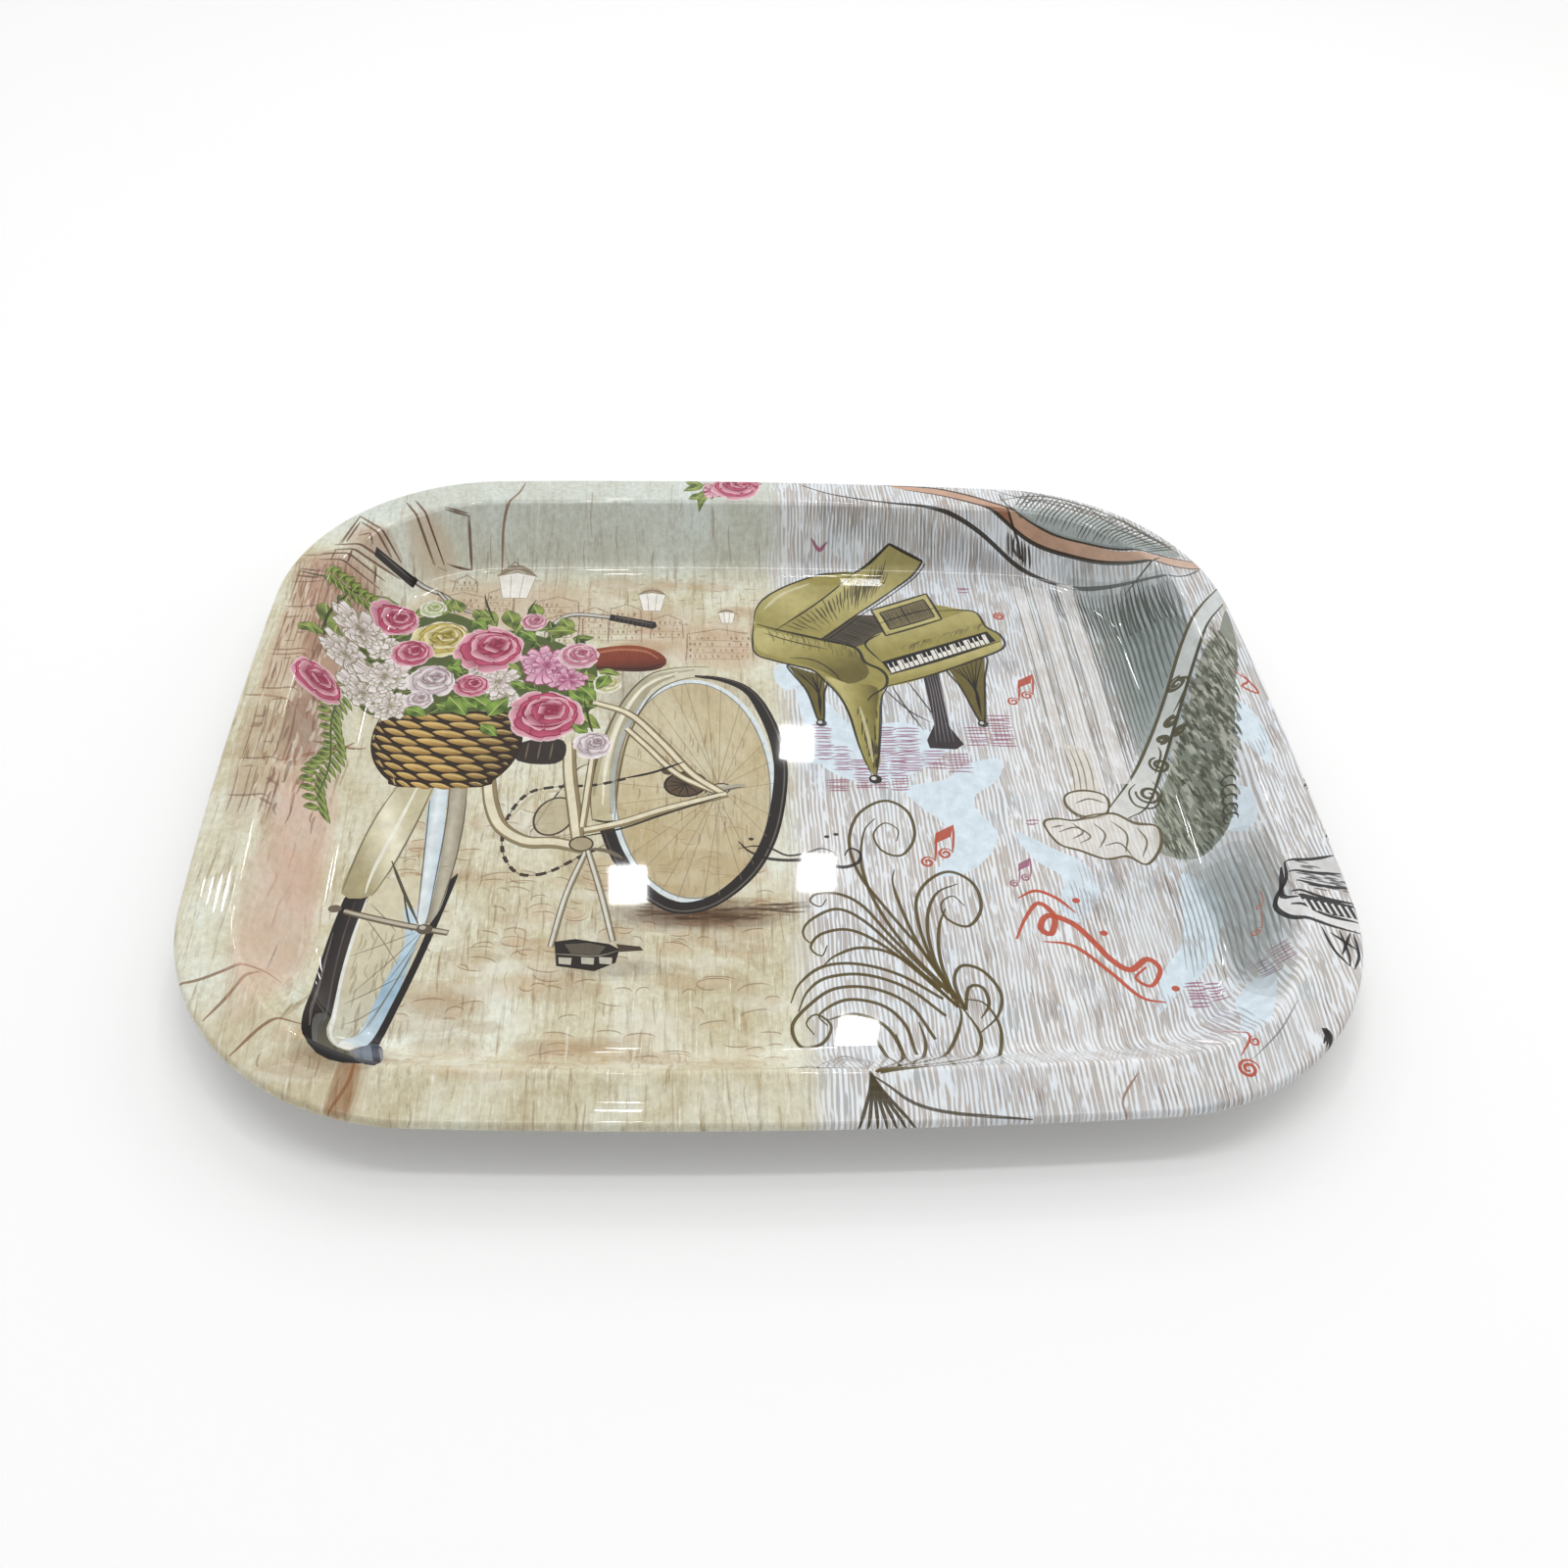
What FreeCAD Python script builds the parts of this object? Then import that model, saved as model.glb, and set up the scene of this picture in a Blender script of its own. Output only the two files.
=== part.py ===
"""Oblong serving tray: one drawn sheet of tinplate with a rolled edge, and the printed film on its face.

Frame: +X along the width, +Y along the depth, +Z up. The origin is on the underside of the base, in its
middle, so that the tray stands on the plane Z = 0. Lengths are millimetres and angles are degrees.

The tray is symmetric about XZ and YZ, so each piece is a quarter that is mirrored twice. A quarter is the
wall section, swept along a quarter of the rim's outline, and the flat panel inside it. The outline is
three arcs that run into each other: half a long side, a corner and half a short side.
"""
import FreeCAD
import Part
import Sketcher
import math
import os

Vector = FreeCAD.Vector

# Driving dimensions. Each is a cell of the sheet "dims" with the same alias.
SIZES = {
    "tray_width": 340.0,      # overall, along X
    "tray_depth": 290.0,      # overall, along Y
    "tray_height": 20.0,      # table to the crest between wall and flange
    "long_bow": 2100.0,       # radius of the outer edge along the two long sides
    "short_bow": 1820.0,      # radius of the outer edge along the two short sides
    "corner_round": 75.0,     # radius of the outer edge at the four corners
    "flange_width": 14.8,     # outer edge to the middle of the crest
    "flange_droop": 4.0,      # the flange falls outwards by this angle
    "crest_fillet": 3.0,      # radius between wall and flange, on the sheet's upper face
    "wall_angle": 49.0,       # wall to the base plane
    "base_fillet": 9.0,       # radius between base and wall, on the sheet's upper face
    "ring_inset": 44.0,       # outer edge to the inner end of the swept section
    "panel_inset": 41.0,      # outer edge to the edge of the flat panel, which overlaps the section
    "curl_radius": 1.6,       # outer radius of the rolled edge
    "curl_wrap": 300.0,       # how far the sheet rolls round, from the flange
    "film_wrap": 215.0,       # how far round the roll the printed film is seen
    "sheet_gauge": 0.35,      # tinplate
    "film_gauge": 0.1,        # white base coat, inks and varnish
}


def make_sheet(doc):
    """The spreadsheet that the sketches and features read."""
    sheet = doc.addObject("Spreadsheet::Sheet", "dims")
    for row, (alias, value) in enumerate(SIZES.items(), start=1):
        sheet.set(f"A{row}", alias)
        sheet.set(f"B{row}", str(value))
        sheet.setAlias(f"B{row}", alias)
    doc.recompute()
    return sheet


def origin_plane(body, role):
    """One of the body's own three origin planes."""
    for feature in body.Origin.OriginFeatures:
        if feature.Role == role:
            return feature
    raise ValueError(role)


def new_sketch(body, name, role):
    """An empty sketch on one of the body's origin planes."""
    sketch = body.newObject("Sketcher::SketchObject", name)
    sketch.AttachmentSupport = (origin_plane(body, role), [""])
    sketch.MapMode = "FlatFace"
    return sketch


def drive(sketch, name, kind, where, value, expression):
    """Adds a dimension to a sketch, names it and binds it to the sheet."""
    index = sketch.addConstraint(Sketcher.Constraint(kind, *where, value))
    sketch.renameConstraint(index, name)
    sketch.setExpression(f"Constraints.{name}", expression)


def arc(centre, radius, start, end):
    """A counter-clockwise arc in a sketch's plane, from one angle to another, in radians."""
    circle = Part.Circle(Vector(centre[0], centre[1], 0), Vector(0, 0, 1), radius)
    return Part.ArcOfCircle(circle, start, end)


def line(start, end):
    return Part.LineSegment(Vector(start[0], start[1], 0), Vector(end[0], end[1], 0))


START, END, CENTRE = 1, 2, 3
ORIGIN, X_AXIS, Y_AXIS = -1, -1, -2


def corner_centre(half_width, half_depth, long_bow, short_bow, corner):
    """Centre of the corner arc that runs smoothly into the two side arcs."""
    long_y, long_reach = half_depth - long_bow, long_bow - corner
    short_x, short_reach = half_width - short_bow, short_bow - corner
    gap = math.hypot(short_x, long_y)
    along = (long_reach ** 2 - short_reach ** 2 + gap ** 2) / (2 * gap)
    aside = math.sqrt(long_reach ** 2 - along ** 2)
    unit = (short_x / gap, -long_y / gap)
    return unit[0] * along + unit[1] * aside, long_y + unit[1] * along - unit[0] * aside


def quarter_outline(body, name, inset=None):
    """A quarter of the outline, from the Y axis to the X axis; with an inset it is a closed panel."""
    drop = SIZES[inset] if inset else 0.0
    less = f" - dims.{inset}" if inset else ""
    half_width = SIZES["tray_width"] / 2 - drop
    half_depth = SIZES["tray_depth"] / 2 - drop
    long_bow = SIZES["long_bow"] - drop
    short_bow = SIZES["short_bow"] - drop
    corner = SIZES["corner_round"] - drop
    cx, cy = corner_centre(half_width, half_depth, long_bow, short_bow, corner)
    long_turn = math.atan2(cy - (half_depth - long_bow), cx)
    short_turn = math.atan2(cy, cx - (half_width - short_bow))

    sketch = new_sketch(body, name, "XY_Plane")
    long_side, bend, short_side = sketch.addGeometry([
        arc((0, half_depth - long_bow), long_bow, long_turn, math.pi / 2),
        arc((cx, cy), corner, short_turn, long_turn),
        arc((half_width - short_bow, 0), short_bow, 0, short_turn),
    ])
    sketch.addConstraint([
        Sketcher.Constraint("PointOnObject", long_side, END, Y_AXIS),
        Sketcher.Constraint("PointOnObject", long_side, CENTRE, Y_AXIS),
        Sketcher.Constraint("Tangent", long_side, START, bend, END),
        Sketcher.Constraint("Tangent", bend, START, short_side, END),
        Sketcher.Constraint("PointOnObject", short_side, CENTRE, X_AXIS),
        Sketcher.Constraint("PointOnObject", short_side, START, X_AXIS),
    ])
    drive(sketch, "half_depth", "DistanceY", (ORIGIN, START, long_side, END), half_depth,
          f"dims.tray_depth / 2{less}")
    drive(sketch, "half_width", "DistanceX", (ORIGIN, START, short_side, START), half_width,
          f"dims.tray_width / 2{less}")
    drive(sketch, "long_bow", "Radius", (long_side,), long_bow, f"dims.long_bow{less}")
    drive(sketch, "short_bow", "Radius", (short_side,), short_bow, f"dims.short_bow{less}")
    drive(sketch, "corner", "Radius", (bend,), corner, f"dims.corner_round{less}")
    if inset:
        across, along = sketch.addGeometry([line((0, half_depth), (0, 0)), line((0, 0), (half_width, 0))])
        sketch.addConstraint([
            Sketcher.Constraint("Coincident", across, START, long_side, END),
            Sketcher.Constraint("Coincident", across, END, ORIGIN, START),
            Sketcher.Constraint("Coincident", along, START, ORIGIN, START),
            Sketcher.Constraint("Coincident", along, END, short_side, START),
        ])
    return sketch


def section_centres():
    """Centres of the base fillet, the crest and the roll in the YZ section, and the two slopes."""
    wall = math.radians(SIZES["wall_angle"])
    droop = math.radians(SIZES["flange_droop"])
    crest = SIZES["crest_fillet"]
    fillet = SIZES["base_fillet"]
    roll = SIZES["curl_radius"]
    edge = SIZES["tray_depth"] / 2
    crest_at = (edge - SIZES["flange_width"], SIZES["tray_height"] - SIZES["film_gauge"] - crest)
    roll_y = edge - SIZES["film_gauge"] - roll
    # The flange touches the tops of the crest and the roll.
    roll_z = crest_at[1] + ((crest - roll) - math.sin(droop) * (roll_y - crest_at[0])) / math.cos(droop)
    # The wall touches the crest from outside and the base fillet from inside.
    fillet_z = SIZES["sheet_gauge"] + fillet
    reach = crest + fillet - math.sin(wall) * crest_at[0] + math.cos(wall) * crest_at[1]
    fillet_y = (math.cos(wall) * fillet_z - reach) / math.sin(wall)
    return (fillet_y, fillet_z), crest_at, (roll_y, roll_z), wall, droop


def draw_face(sketch, rise, wrap):
    """Draws one face of the sheet, lifted by rise from the upper face of the tinplate.

    The run is base, base fillet, wall, crest, flange and roll. Returns their indices.
    """
    fillet_at, crest_at, roll_at, wall, droop = section_centres()
    fillet = SIZES["base_fillet"] - rise
    crest = SIZES["crest_fillet"] + rise
    roll = SIZES["curl_radius"] + rise
    quarter = math.pi / 2
    level = SIZES["sheet_gauge"] + rise
    inner = SIZES["tray_depth"] / 2 - SIZES["ring_inset"]

    def on(centre, radius, angle):
        return centre[0] + radius * math.cos(angle), centre[1] + radius * math.sin(angle)

    roll_end = quarter - droop - math.radians(wrap)
    return sketch.addGeometry([
        line((inner, level), on(fillet_at, fillet, -quarter)),
        arc(fillet_at, fillet, -quarter, wall - quarter),
        line(on(fillet_at, fillet, wall - quarter), on(crest_at, crest, wall + quarter)),
        arc(crest_at, crest, quarter - droop, quarter + wall),
        line(on(crest_at, crest, quarter - droop), on(roll_at, roll, quarter - droop)),
        arc(roll_at, roll, roll_end, quarter - droop),
    ])


def join_face(sketch, face):
    """Makes the run of one face smooth, and its base level."""
    base, fillet, wall, crest, flange, roll = face
    sketch.addConstraint([
        Sketcher.Constraint("Horizontal", base),
        Sketcher.Constraint("Tangent", base, END, fillet, START),
        Sketcher.Constraint("Tangent", fillet, END, wall, START),
        Sketcher.Constraint("Tangent", wall, END, crest, END),
        Sketcher.Constraint("Tangent", crest, START, flange, START),
        Sketcher.Constraint("Tangent", flange, END, roll, END),
    ])


def wall_section(body, name, rise, rise_by, wrap):
    """The closed YZ section of a sheet that lies on the upper face of the tinplate, or under it.

    rise is the far face's height above that upper face, rise_by is the same as an expression, and wrap is
    the name of the angle through which the sheet rolls round at its edge.
    """
    _, crest_at, roll_at, wall_slope, _ = section_centres()
    sketch = new_sketch(body, name, "YZ_Plane")
    near = draw_face(sketch, 0.0, SIZES[wrap])
    far = draw_face(sketch, rise, SIZES[wrap])
    base, fillet, wall, crest, flange, roll = near
    join_face(sketch, near)
    join_face(sketch, far)
    inner_end, outer_end = sketch.addGeometry([
        line(*(sketch.getPoint(index, START)[:2] for index in (base, far[0]))),
        line(*(sketch.getPoint(index, START)[:2] for index in (roll, far[5]))),
    ])
    sketch.addConstraint([
        Sketcher.Constraint("Coincident", inner_end, START, base, START),
        Sketcher.Constraint("Coincident", inner_end, END, far[0], START),
        Sketcher.Constraint("Vertical", inner_end),
        Sketcher.Constraint("Coincident", outer_end, START, roll, START),
        Sketcher.Constraint("Coincident", outer_end, END, far[5], START),
        Sketcher.Constraint("PointOnObject", roll, CENTRE, outer_end),
        Sketcher.Constraint("Coincident", fillet, CENTRE, far[1], CENTRE),
        Sketcher.Constraint("Coincident", crest, CENTRE, far[3], CENTRE),
        Sketcher.Constraint("Coincident", roll, CENTRE, far[5], CENTRE),
        Sketcher.Constraint("Parallel", wall, far[2]),
        Sketcher.Constraint("Parallel", flange, far[4]),
    ])
    drive(sketch, "inner", "DistanceX", (ORIGIN, START, base, START),
          SIZES["tray_depth"] / 2 - SIZES["ring_inset"], "dims.tray_depth / 2 - dims.ring_inset")
    drive(sketch, "level", "DistanceY", (ORIGIN, START, base, START), SIZES["sheet_gauge"],
          "dims.sheet_gauge")
    drive(sketch, "fillet", "Radius", (fillet,), SIZES["base_fillet"], "dims.base_fillet")
    drive(sketch, "slope", "Angle", (wall,), wall_slope, "dims.wall_angle")
    drive(sketch, "crest", "Radius", (crest,), SIZES["crest_fillet"], "dims.crest_fillet")
    drive(sketch, "crest_y", "DistanceX", (ORIGIN, START, crest, CENTRE), crest_at[0],
          "dims.tray_depth / 2 - dims.flange_width")
    drive(sketch, "crest_z", "DistanceY", (ORIGIN, START, crest, CENTRE), crest_at[1],
          "dims.tray_height - dims.film_gauge - dims.crest_fillet")
    drive(sketch, "roll", "Radius", (roll,), SIZES["curl_radius"], "dims.curl_radius")
    drive(sketch, "roll_y", "DistanceX", (ORIGIN, START, roll, CENTRE), roll_at[0],
          "dims.tray_depth / 2 - dims.film_gauge - dims.curl_radius")
    drive(sketch, "roll_z", "DistanceY", (ORIGIN, START, roll, CENTRE), roll_at[1],
          "dims.tray_height - dims.film_gauge - dims.crest_fillet"
          " + ((dims.crest_fillet - dims.curl_radius) - sin(dims.flange_droop * 1deg)"
          " * (dims.flange_width - dims.film_gauge - dims.curl_radius)) / cos(dims.flange_droop * 1deg)")
    drive(sketch, "wrap", "Angle", (roll,), math.radians(SIZES[wrap]), f"dims.{wrap}")
    drive(sketch, "far_fillet", "Radius", (far[1],), SIZES["base_fillet"] - rise,
          f"dims.base_fillet - ({rise_by})")
    return sketch


def mirror_quarter(body, label, quarter):
    """Mirrors the features of a quarter about YZ and then both halves about XZ."""
    whole = body.newObject("PartDesign::MultiTransform", f"{label}_whole")
    whole.Originals = quarter
    steps = []
    for role in ("YZ_Plane", "XZ_Plane"):
        step = body.newObject("PartDesign::Mirrored", f"{label}_about_{role}")
        step.MirrorPlane = (origin_plane(body, role), [""])
        steps.append(step)
    whole.Transformations = steps
    body.Tip = whole


def make_piece(doc, label, rise, rise_by, wrap, bottom, thickness):
    """A body for one sheet: the swept section, the flat panel inside it, and two mirrorings.

    bottom and thickness are expressions for the panel's underside and its gauge.
    """
    body = doc.addObject("PartDesign::Body", label)
    body.Label = label

    outline = quarter_outline(body, f"{label}_outline")
    section = wall_section(body, f"{label}_section", rise, rise_by, wrap)
    rim = body.newObject("PartDesign::AdditivePipe", f"{label}_rim")
    rim.Profile = section
    rim.Spine = outline

    panel_outline = quarter_outline(body, f"{label}_panel_outline", "panel_inset")
    panel_outline.setExpression("AttachmentOffset.Base.z", bottom)
    panel = body.newObject("PartDesign::Pad", f"{label}_panel")
    panel.Profile = panel_outline
    panel.setExpression("Length", thickness)
    doc.recompute()

    mirror_quarter(body, label, [rim, panel])
    return body


def check_document(doc):
    """Stops the build if anything in the document failed to compute."""
    for item in doc.Objects:
        if "Invalid" in item.State or "Error" in item.State:
            raise RuntimeError(f"{item.Label}: {item.State}")
        if item.isDerivedFrom("Sketcher::SketchObject") and not item.FullyConstrained:
            raise RuntimeError(f"{item.Label} is not fully constrained")


def main():
    doc = FreeCAD.newDocument("serving_tray")
    make_sheet(doc)
    pieces = [
        make_piece(doc, "tinplate_pan", -SIZES["sheet_gauge"], "-dims.sheet_gauge", "curl_wrap",
                   "0", "dims.sheet_gauge"),
        make_piece(doc, "printed_face", SIZES["film_gauge"], "dims.film_gauge", "film_wrap",
                   "dims.sheet_gauge", "dims.film_gauge"),
    ]
    doc.recompute()
    check_document(doc)

    os.makedirs("parts", exist_ok=True)
    for body in pieces:
        shape = body.Shape
        if shape.isNull() or not shape.isValid() or len(shape.Solids) != 1:
            raise RuntimeError(f"{body.Label} is not one valid solid")
        box = shape.optimalBoundingBox()
        print(f"{body.Label}: {box.XLength:.2f} x {box.YLength:.2f} x {box.ZLength:.2f} mm,"
              f" {shape.Volume / 1000:.2f} cm3")
        shape.exportStep(f"parts/{body.Label}.step")


main()
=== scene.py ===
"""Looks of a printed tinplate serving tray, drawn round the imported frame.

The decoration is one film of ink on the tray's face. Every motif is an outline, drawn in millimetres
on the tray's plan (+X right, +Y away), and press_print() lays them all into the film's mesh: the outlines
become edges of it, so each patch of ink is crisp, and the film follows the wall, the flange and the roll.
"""

import math
import random

import bpy
import numpy as np
from mathutils import Matrix, Vector
from mathutils.geometry import delaunay_2d_cdt


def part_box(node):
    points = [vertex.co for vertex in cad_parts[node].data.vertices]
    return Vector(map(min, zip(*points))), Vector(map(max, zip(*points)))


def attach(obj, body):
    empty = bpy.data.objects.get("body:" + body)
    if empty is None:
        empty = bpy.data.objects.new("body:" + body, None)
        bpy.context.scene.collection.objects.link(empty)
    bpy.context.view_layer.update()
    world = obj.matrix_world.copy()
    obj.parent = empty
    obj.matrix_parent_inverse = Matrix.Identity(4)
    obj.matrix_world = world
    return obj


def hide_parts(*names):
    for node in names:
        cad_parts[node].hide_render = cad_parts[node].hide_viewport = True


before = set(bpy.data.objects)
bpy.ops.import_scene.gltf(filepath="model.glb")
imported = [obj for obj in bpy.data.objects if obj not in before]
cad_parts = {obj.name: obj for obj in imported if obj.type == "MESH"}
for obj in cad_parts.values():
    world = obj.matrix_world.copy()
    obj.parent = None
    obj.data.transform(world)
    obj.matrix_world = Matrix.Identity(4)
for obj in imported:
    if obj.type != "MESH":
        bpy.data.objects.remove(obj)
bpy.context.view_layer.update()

MM = 0.001

# ---------------------------------------------------------------------------------------------------------
# The face of the tray, as the design has it, in millimetres and radians
# ---------------------------------------------------------------------------------------------------------
face_low, face_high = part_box("printed_face")
HALF_WIDTH = face_high[0] / MM
HALF_DEPTH = face_high[1] / MM
FILM = 0.1
LONG_BOW, SHORT_BOW, CORNER_ROUND = 2100.0, 1820.0, 75.0
FLANGE_WIDTH, FLANGE_DROOP = 14.8, math.radians(4.0)
WALL_SLOPE = math.radians(49.0)
FILLET, CREST, ROLL = 8.9, 3.1, 1.7     # radii on the film's upper side
ROLL_WRAP = math.radians(215.0)
BASE_LEVEL = face_low[2] / MM + FILM

# The section through the wall: "out" is the distance towards the edge, measured back from the edge.
crest_in, crest_up = FLANGE_WIDTH, face_high[2] / MM - CREST
roll_in = ROLL
roll_up = crest_up + (CREST - ROLL - math.sin(FLANGE_DROOP) * (crest_in - roll_in)) / math.cos(FLANGE_DROOP)
fillet_up = BASE_LEVEL + FILLET
wall_reach = CREST + FILLET - math.cos(WALL_SLOPE) * (fillet_up - crest_up)
fillet_in = crest_in + wall_reach / math.sin(WALL_SLOPE)
FILLET_END = fillet_in - FILLET * math.sin(WALL_SLOPE)
CREST_START = crest_in + CREST * math.sin(WALL_SLOPE)
CREST_END = crest_in - CREST * math.sin(FLANGE_DROOP)
ROLL_START = roll_in - ROLL * math.sin(FLANGE_DROOP)
FILM_END = ROLL_START - ROLL * ROLL_WRAP


def corner_centre():
    """Centre of the corner arc that runs smoothly into the two side arcs."""
    long_y, long_reach = HALF_DEPTH - LONG_BOW, LONG_BOW - CORNER_ROUND
    short_x, short_reach = HALF_WIDTH - SHORT_BOW, SHORT_BOW - CORNER_ROUND
    gap = math.hypot(short_x, long_y)
    along = (long_reach ** 2 - short_reach ** 2 + gap ** 2) / (2 * gap)
    aside = math.sqrt(long_reach ** 2 - along ** 2)
    unit = (short_x / gap, -long_y / gap)
    return unit[0] * along + unit[1] * aside, long_y + unit[1] * along - unit[0] * aside


CORNER = corner_centre()
LONG_CENTRE = (0.0, HALF_DEPTH - LONG_BOW)
SHORT_CENTRE = (HALF_WIDTH - SHORT_BOW, 0.0)
LONG_TURN = math.atan2(CORNER[1] - LONG_CENTRE[1], CORNER[0])
SHORT_TURN = math.atan2(CORNER[1], CORNER[0] - SHORT_CENTRE[0])


def edge_distance(points):
    """Each point's distance inside the outer edge, and the direction straight out to that edge."""
    fold = np.abs(points)
    sign = np.where(points < 0, -1.0, 1.0)
    best = None
    for centre, radius in ((LONG_CENTRE, LONG_BOW), (SHORT_CENTRE, SHORT_BOW), (CORNER, CORNER_ROUND)):
        arm = fold - np.array(centre)
        reach = np.hypot(arm[:, 0], arm[:, 1])
        inside = radius - reach
        outward = arm / np.maximum(reach, 1e-9)[:, None]
        if best is None:
            best = [inside, outward]
            continue
        if radius == CORNER_ROUND:
            turn = np.arctan2(arm[:, 1], arm[:, 0])
            closer = (turn > SHORT_TURN) & (turn < LONG_TURN)
        else:
            closer = inside < best[0]
        best[0] = np.where(closer, inside, best[0])
        best[1] = np.where(closer[:, None], outward, best[1])
    return best[0], best[1] * sign


def section(inside):
    """Where the face lies at each distance inside the edge: how far in, how high, and its normal."""
    arc = math.pi / 2 - FLANGE_DROOP - (ROLL_START - inside) / ROLL
    on_fillet = np.sqrt(np.clip(FILLET ** 2 - (fillet_in - inside) ** 2, 0, None))
    on_crest = np.sqrt(np.clip(CREST ** 2 - (crest_in - inside) ** 2, 0, None))
    one = np.ones_like(inside)
    wall_foot = fillet_up - FILLET * math.cos(WALL_SLOPE)
    flange_top = crest_up + CREST * math.cos(FLANGE_DROOP)
    cases = [inside >= fillet_in, inside >= FILLET_END, inside >= CREST_START, inside >= CREST_END,
             inside >= ROLL_START]
    inward = np.select(cases, [inside] * len(cases), roll_in - ROLL * np.cos(arc))
    height = np.select(cases, [
        BASE_LEVEL * one,
        fillet_up - on_fillet,
        wall_foot + (FILLET_END - inside) * math.tan(WALL_SLOPE),
        crest_up + on_crest,
        flange_top - (CREST_END - inside) * math.tan(FLANGE_DROOP),
    ], roll_up + ROLL * np.sin(arc))
    normal_out = np.select(cases, [
        0 * one,
        -(fillet_in - inside) / FILLET,
        -math.sin(WALL_SLOPE) * one,
        (crest_in - inside) / CREST,
        math.sin(FLANGE_DROOP) * one,
    ], np.cos(arc))
    normal_up = np.select(cases, [
        one,
        on_fillet / FILLET,
        math.cos(WALL_SLOPE) * one,
        on_crest / CREST,
        math.cos(FLANGE_DROOP) * one,
    ], np.sin(arc))
    return inward, height, normal_out, normal_up


def lay(points):
    """Carries plan points onto the formed face. Past the edge the plan goes on round the roll."""
    inside, outward = edge_distance(points)
    inward, height, normal_out, normal_up = section(inside)
    plan = points + outward * (inside - inward)[:, None]
    return (np.column_stack([plan, height]) * MM,
            np.column_stack([outward * normal_out[:, None], normal_up]))


def outline(inside):
    """The closed outline at a distance inside the edge, as points: each arc in so many steps."""
    quarter = []
    for centre, radius, start, end, count in (
            (SHORT_CENTRE, SHORT_BOW, 0.0, SHORT_TURN, 15),
            (CORNER, CORNER_ROUND, SHORT_TURN, LONG_TURN, 60),
            (LONG_CENTRE, LONG_BOW, LONG_TURN, math.pi / 2, 20)):
        for turn in np.linspace(start, end, count, endpoint=False):
            quarter.append((centre[0] + (radius - inside) * math.cos(turn),
                            centre[1] + (radius - inside) * math.sin(turn)))
    top = (0.0, HALF_DEPTH - inside)
    half = quarter + [top] + [(-x, y) for x, y in reversed(quarter[1:])]
    return half + [(-x, -y) for x, y in half]


# ---------------------------------------------------------------------------------------------------------
# Drawing tools. A paint is a function of (x, y) that gives red, green, blue and cover.
# ---------------------------------------------------------------------------------------------------------
rng = random.Random(7)
drawing = []            # (outline points, paint), the last on top
RUN = 12                # steps of a brush stroke that one outline takes
SPIRAL_EYE = 0.15       # a spiral's inner radius, as a share of its outer one


def linear(value):
    """One screen colour channel, 0 to 255, as light."""
    value /= 255
    return value / 12.92 if value <= 0.04045 else ((value + 0.055) / 1.055) ** 2.4


def ink(red, green, blue, cover=1.0):
    """One flat colour."""
    colour = (linear(red), linear(green), linear(blue), cover)
    return lambda x, y: colour


def ramp(start, end, *paints):
    """Runs through the paints from one point to another."""
    ax, ay = start
    dx, dy = end[0] - ax, end[1] - ay
    length = dx * dx + dy * dy

    def paint(x, y):
        t = min(max(((x - ax) * dx + (y - ay) * dy) / length, 0.0), 1.0) * (len(paints) - 1)
        k = min(int(t), len(paints) - 2)
        a, b = paints[k](x, y), paints[k + 1](x, y)
        return tuple(p + (q - p) * (t - k) for p, q in zip(a, b))
    return paint


def curve(points, step=1.2, closed=False):
    """A smooth line through a few points, sampled about every step millimetres."""
    count = len(points)
    spans = count if closed else count - 1
    line = []
    for k in range(spans):
        p1, p2 = points[k], points[(k + 1) % count]
        p0 = points[k - 1] if closed or k else (2 * p1[0] - p2[0], 2 * p1[1] - p2[1])
        p3 = points[(k + 2) % count] if closed or k + 2 < count else (2 * p2[0] - p1[0], 2 * p2[1] - p1[1])
        pieces = max(int(math.hypot(p2[0] - p1[0], p2[1] - p1[1]) / step), 2)
        for i in range(pieces):
            t = i / pieces
            line.append(tuple(
                0.5 * (2 * b + (c - a) * t + (2 * a - 5 * b + 4 * c - d) * t * t
                       + (3 * b - a - 3 * c + d) * t ** 3)
                for a, b, c, d in zip(p0, p1, p2, p3)))
    if not closed:
        line.append(tuple(points[-1]))
    return line


def area(points, paint, smooth=True, step=1.5):
    """A filled outline."""
    drawing.append((curve(points, step, closed=True) if smooth else list(points), paint))


def stroke(line, width, paint, taper=(0.35, 0.35)):
    """A brush stroke along sampled points, thinner at its ends, cut into short overlapping runs."""
    count = len(line)
    left, right = [], []
    for i, (x, y) in enumerate(line):
        ax, ay = line[max(i - 1, 0)]
        bx, by = line[min(i + 1, count - 1)]
        length = math.hypot(bx - ax, by - ay) or 1.0
        nx, ny = -(by - ay) / length, (bx - ax) / length
        t = i / (count - 1)
        swell = min(1.0, taper[0] + (1 - taper[0]) * t * 4, taper[1] + (1 - taper[1]) * (1 - t) * 4)
        half = width * swell / 2
        left.append((x + nx * half, y + ny * half))
        right.append((x - nx * half, y - ny * half))
    for start in range(0, count - 1, RUN):
        end = min(start + RUN + 1, count)
        drawing.append((left[start:end] + right[start:end][::-1], paint))


def draw(points, width, paint, step=1.2, taper=(0.35, 0.35), closed=False):
    """A brush stroke through a few points."""
    line = curve(points, step, closed)
    if closed:
        line.append(line[0])
        taper = (1.0, 1.0)
    stroke(line, width, paint, taper)


def along(line, t):
    """The point a share of the way along sampled points."""
    place = t * (len(line) - 1)
    k = min(int(place), len(line) - 2)
    (ax, ay), (bx, by) = line[k], line[k + 1]
    return ax + (bx - ax) * (place - k), ay + (by - ay) * (place - k)


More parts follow.
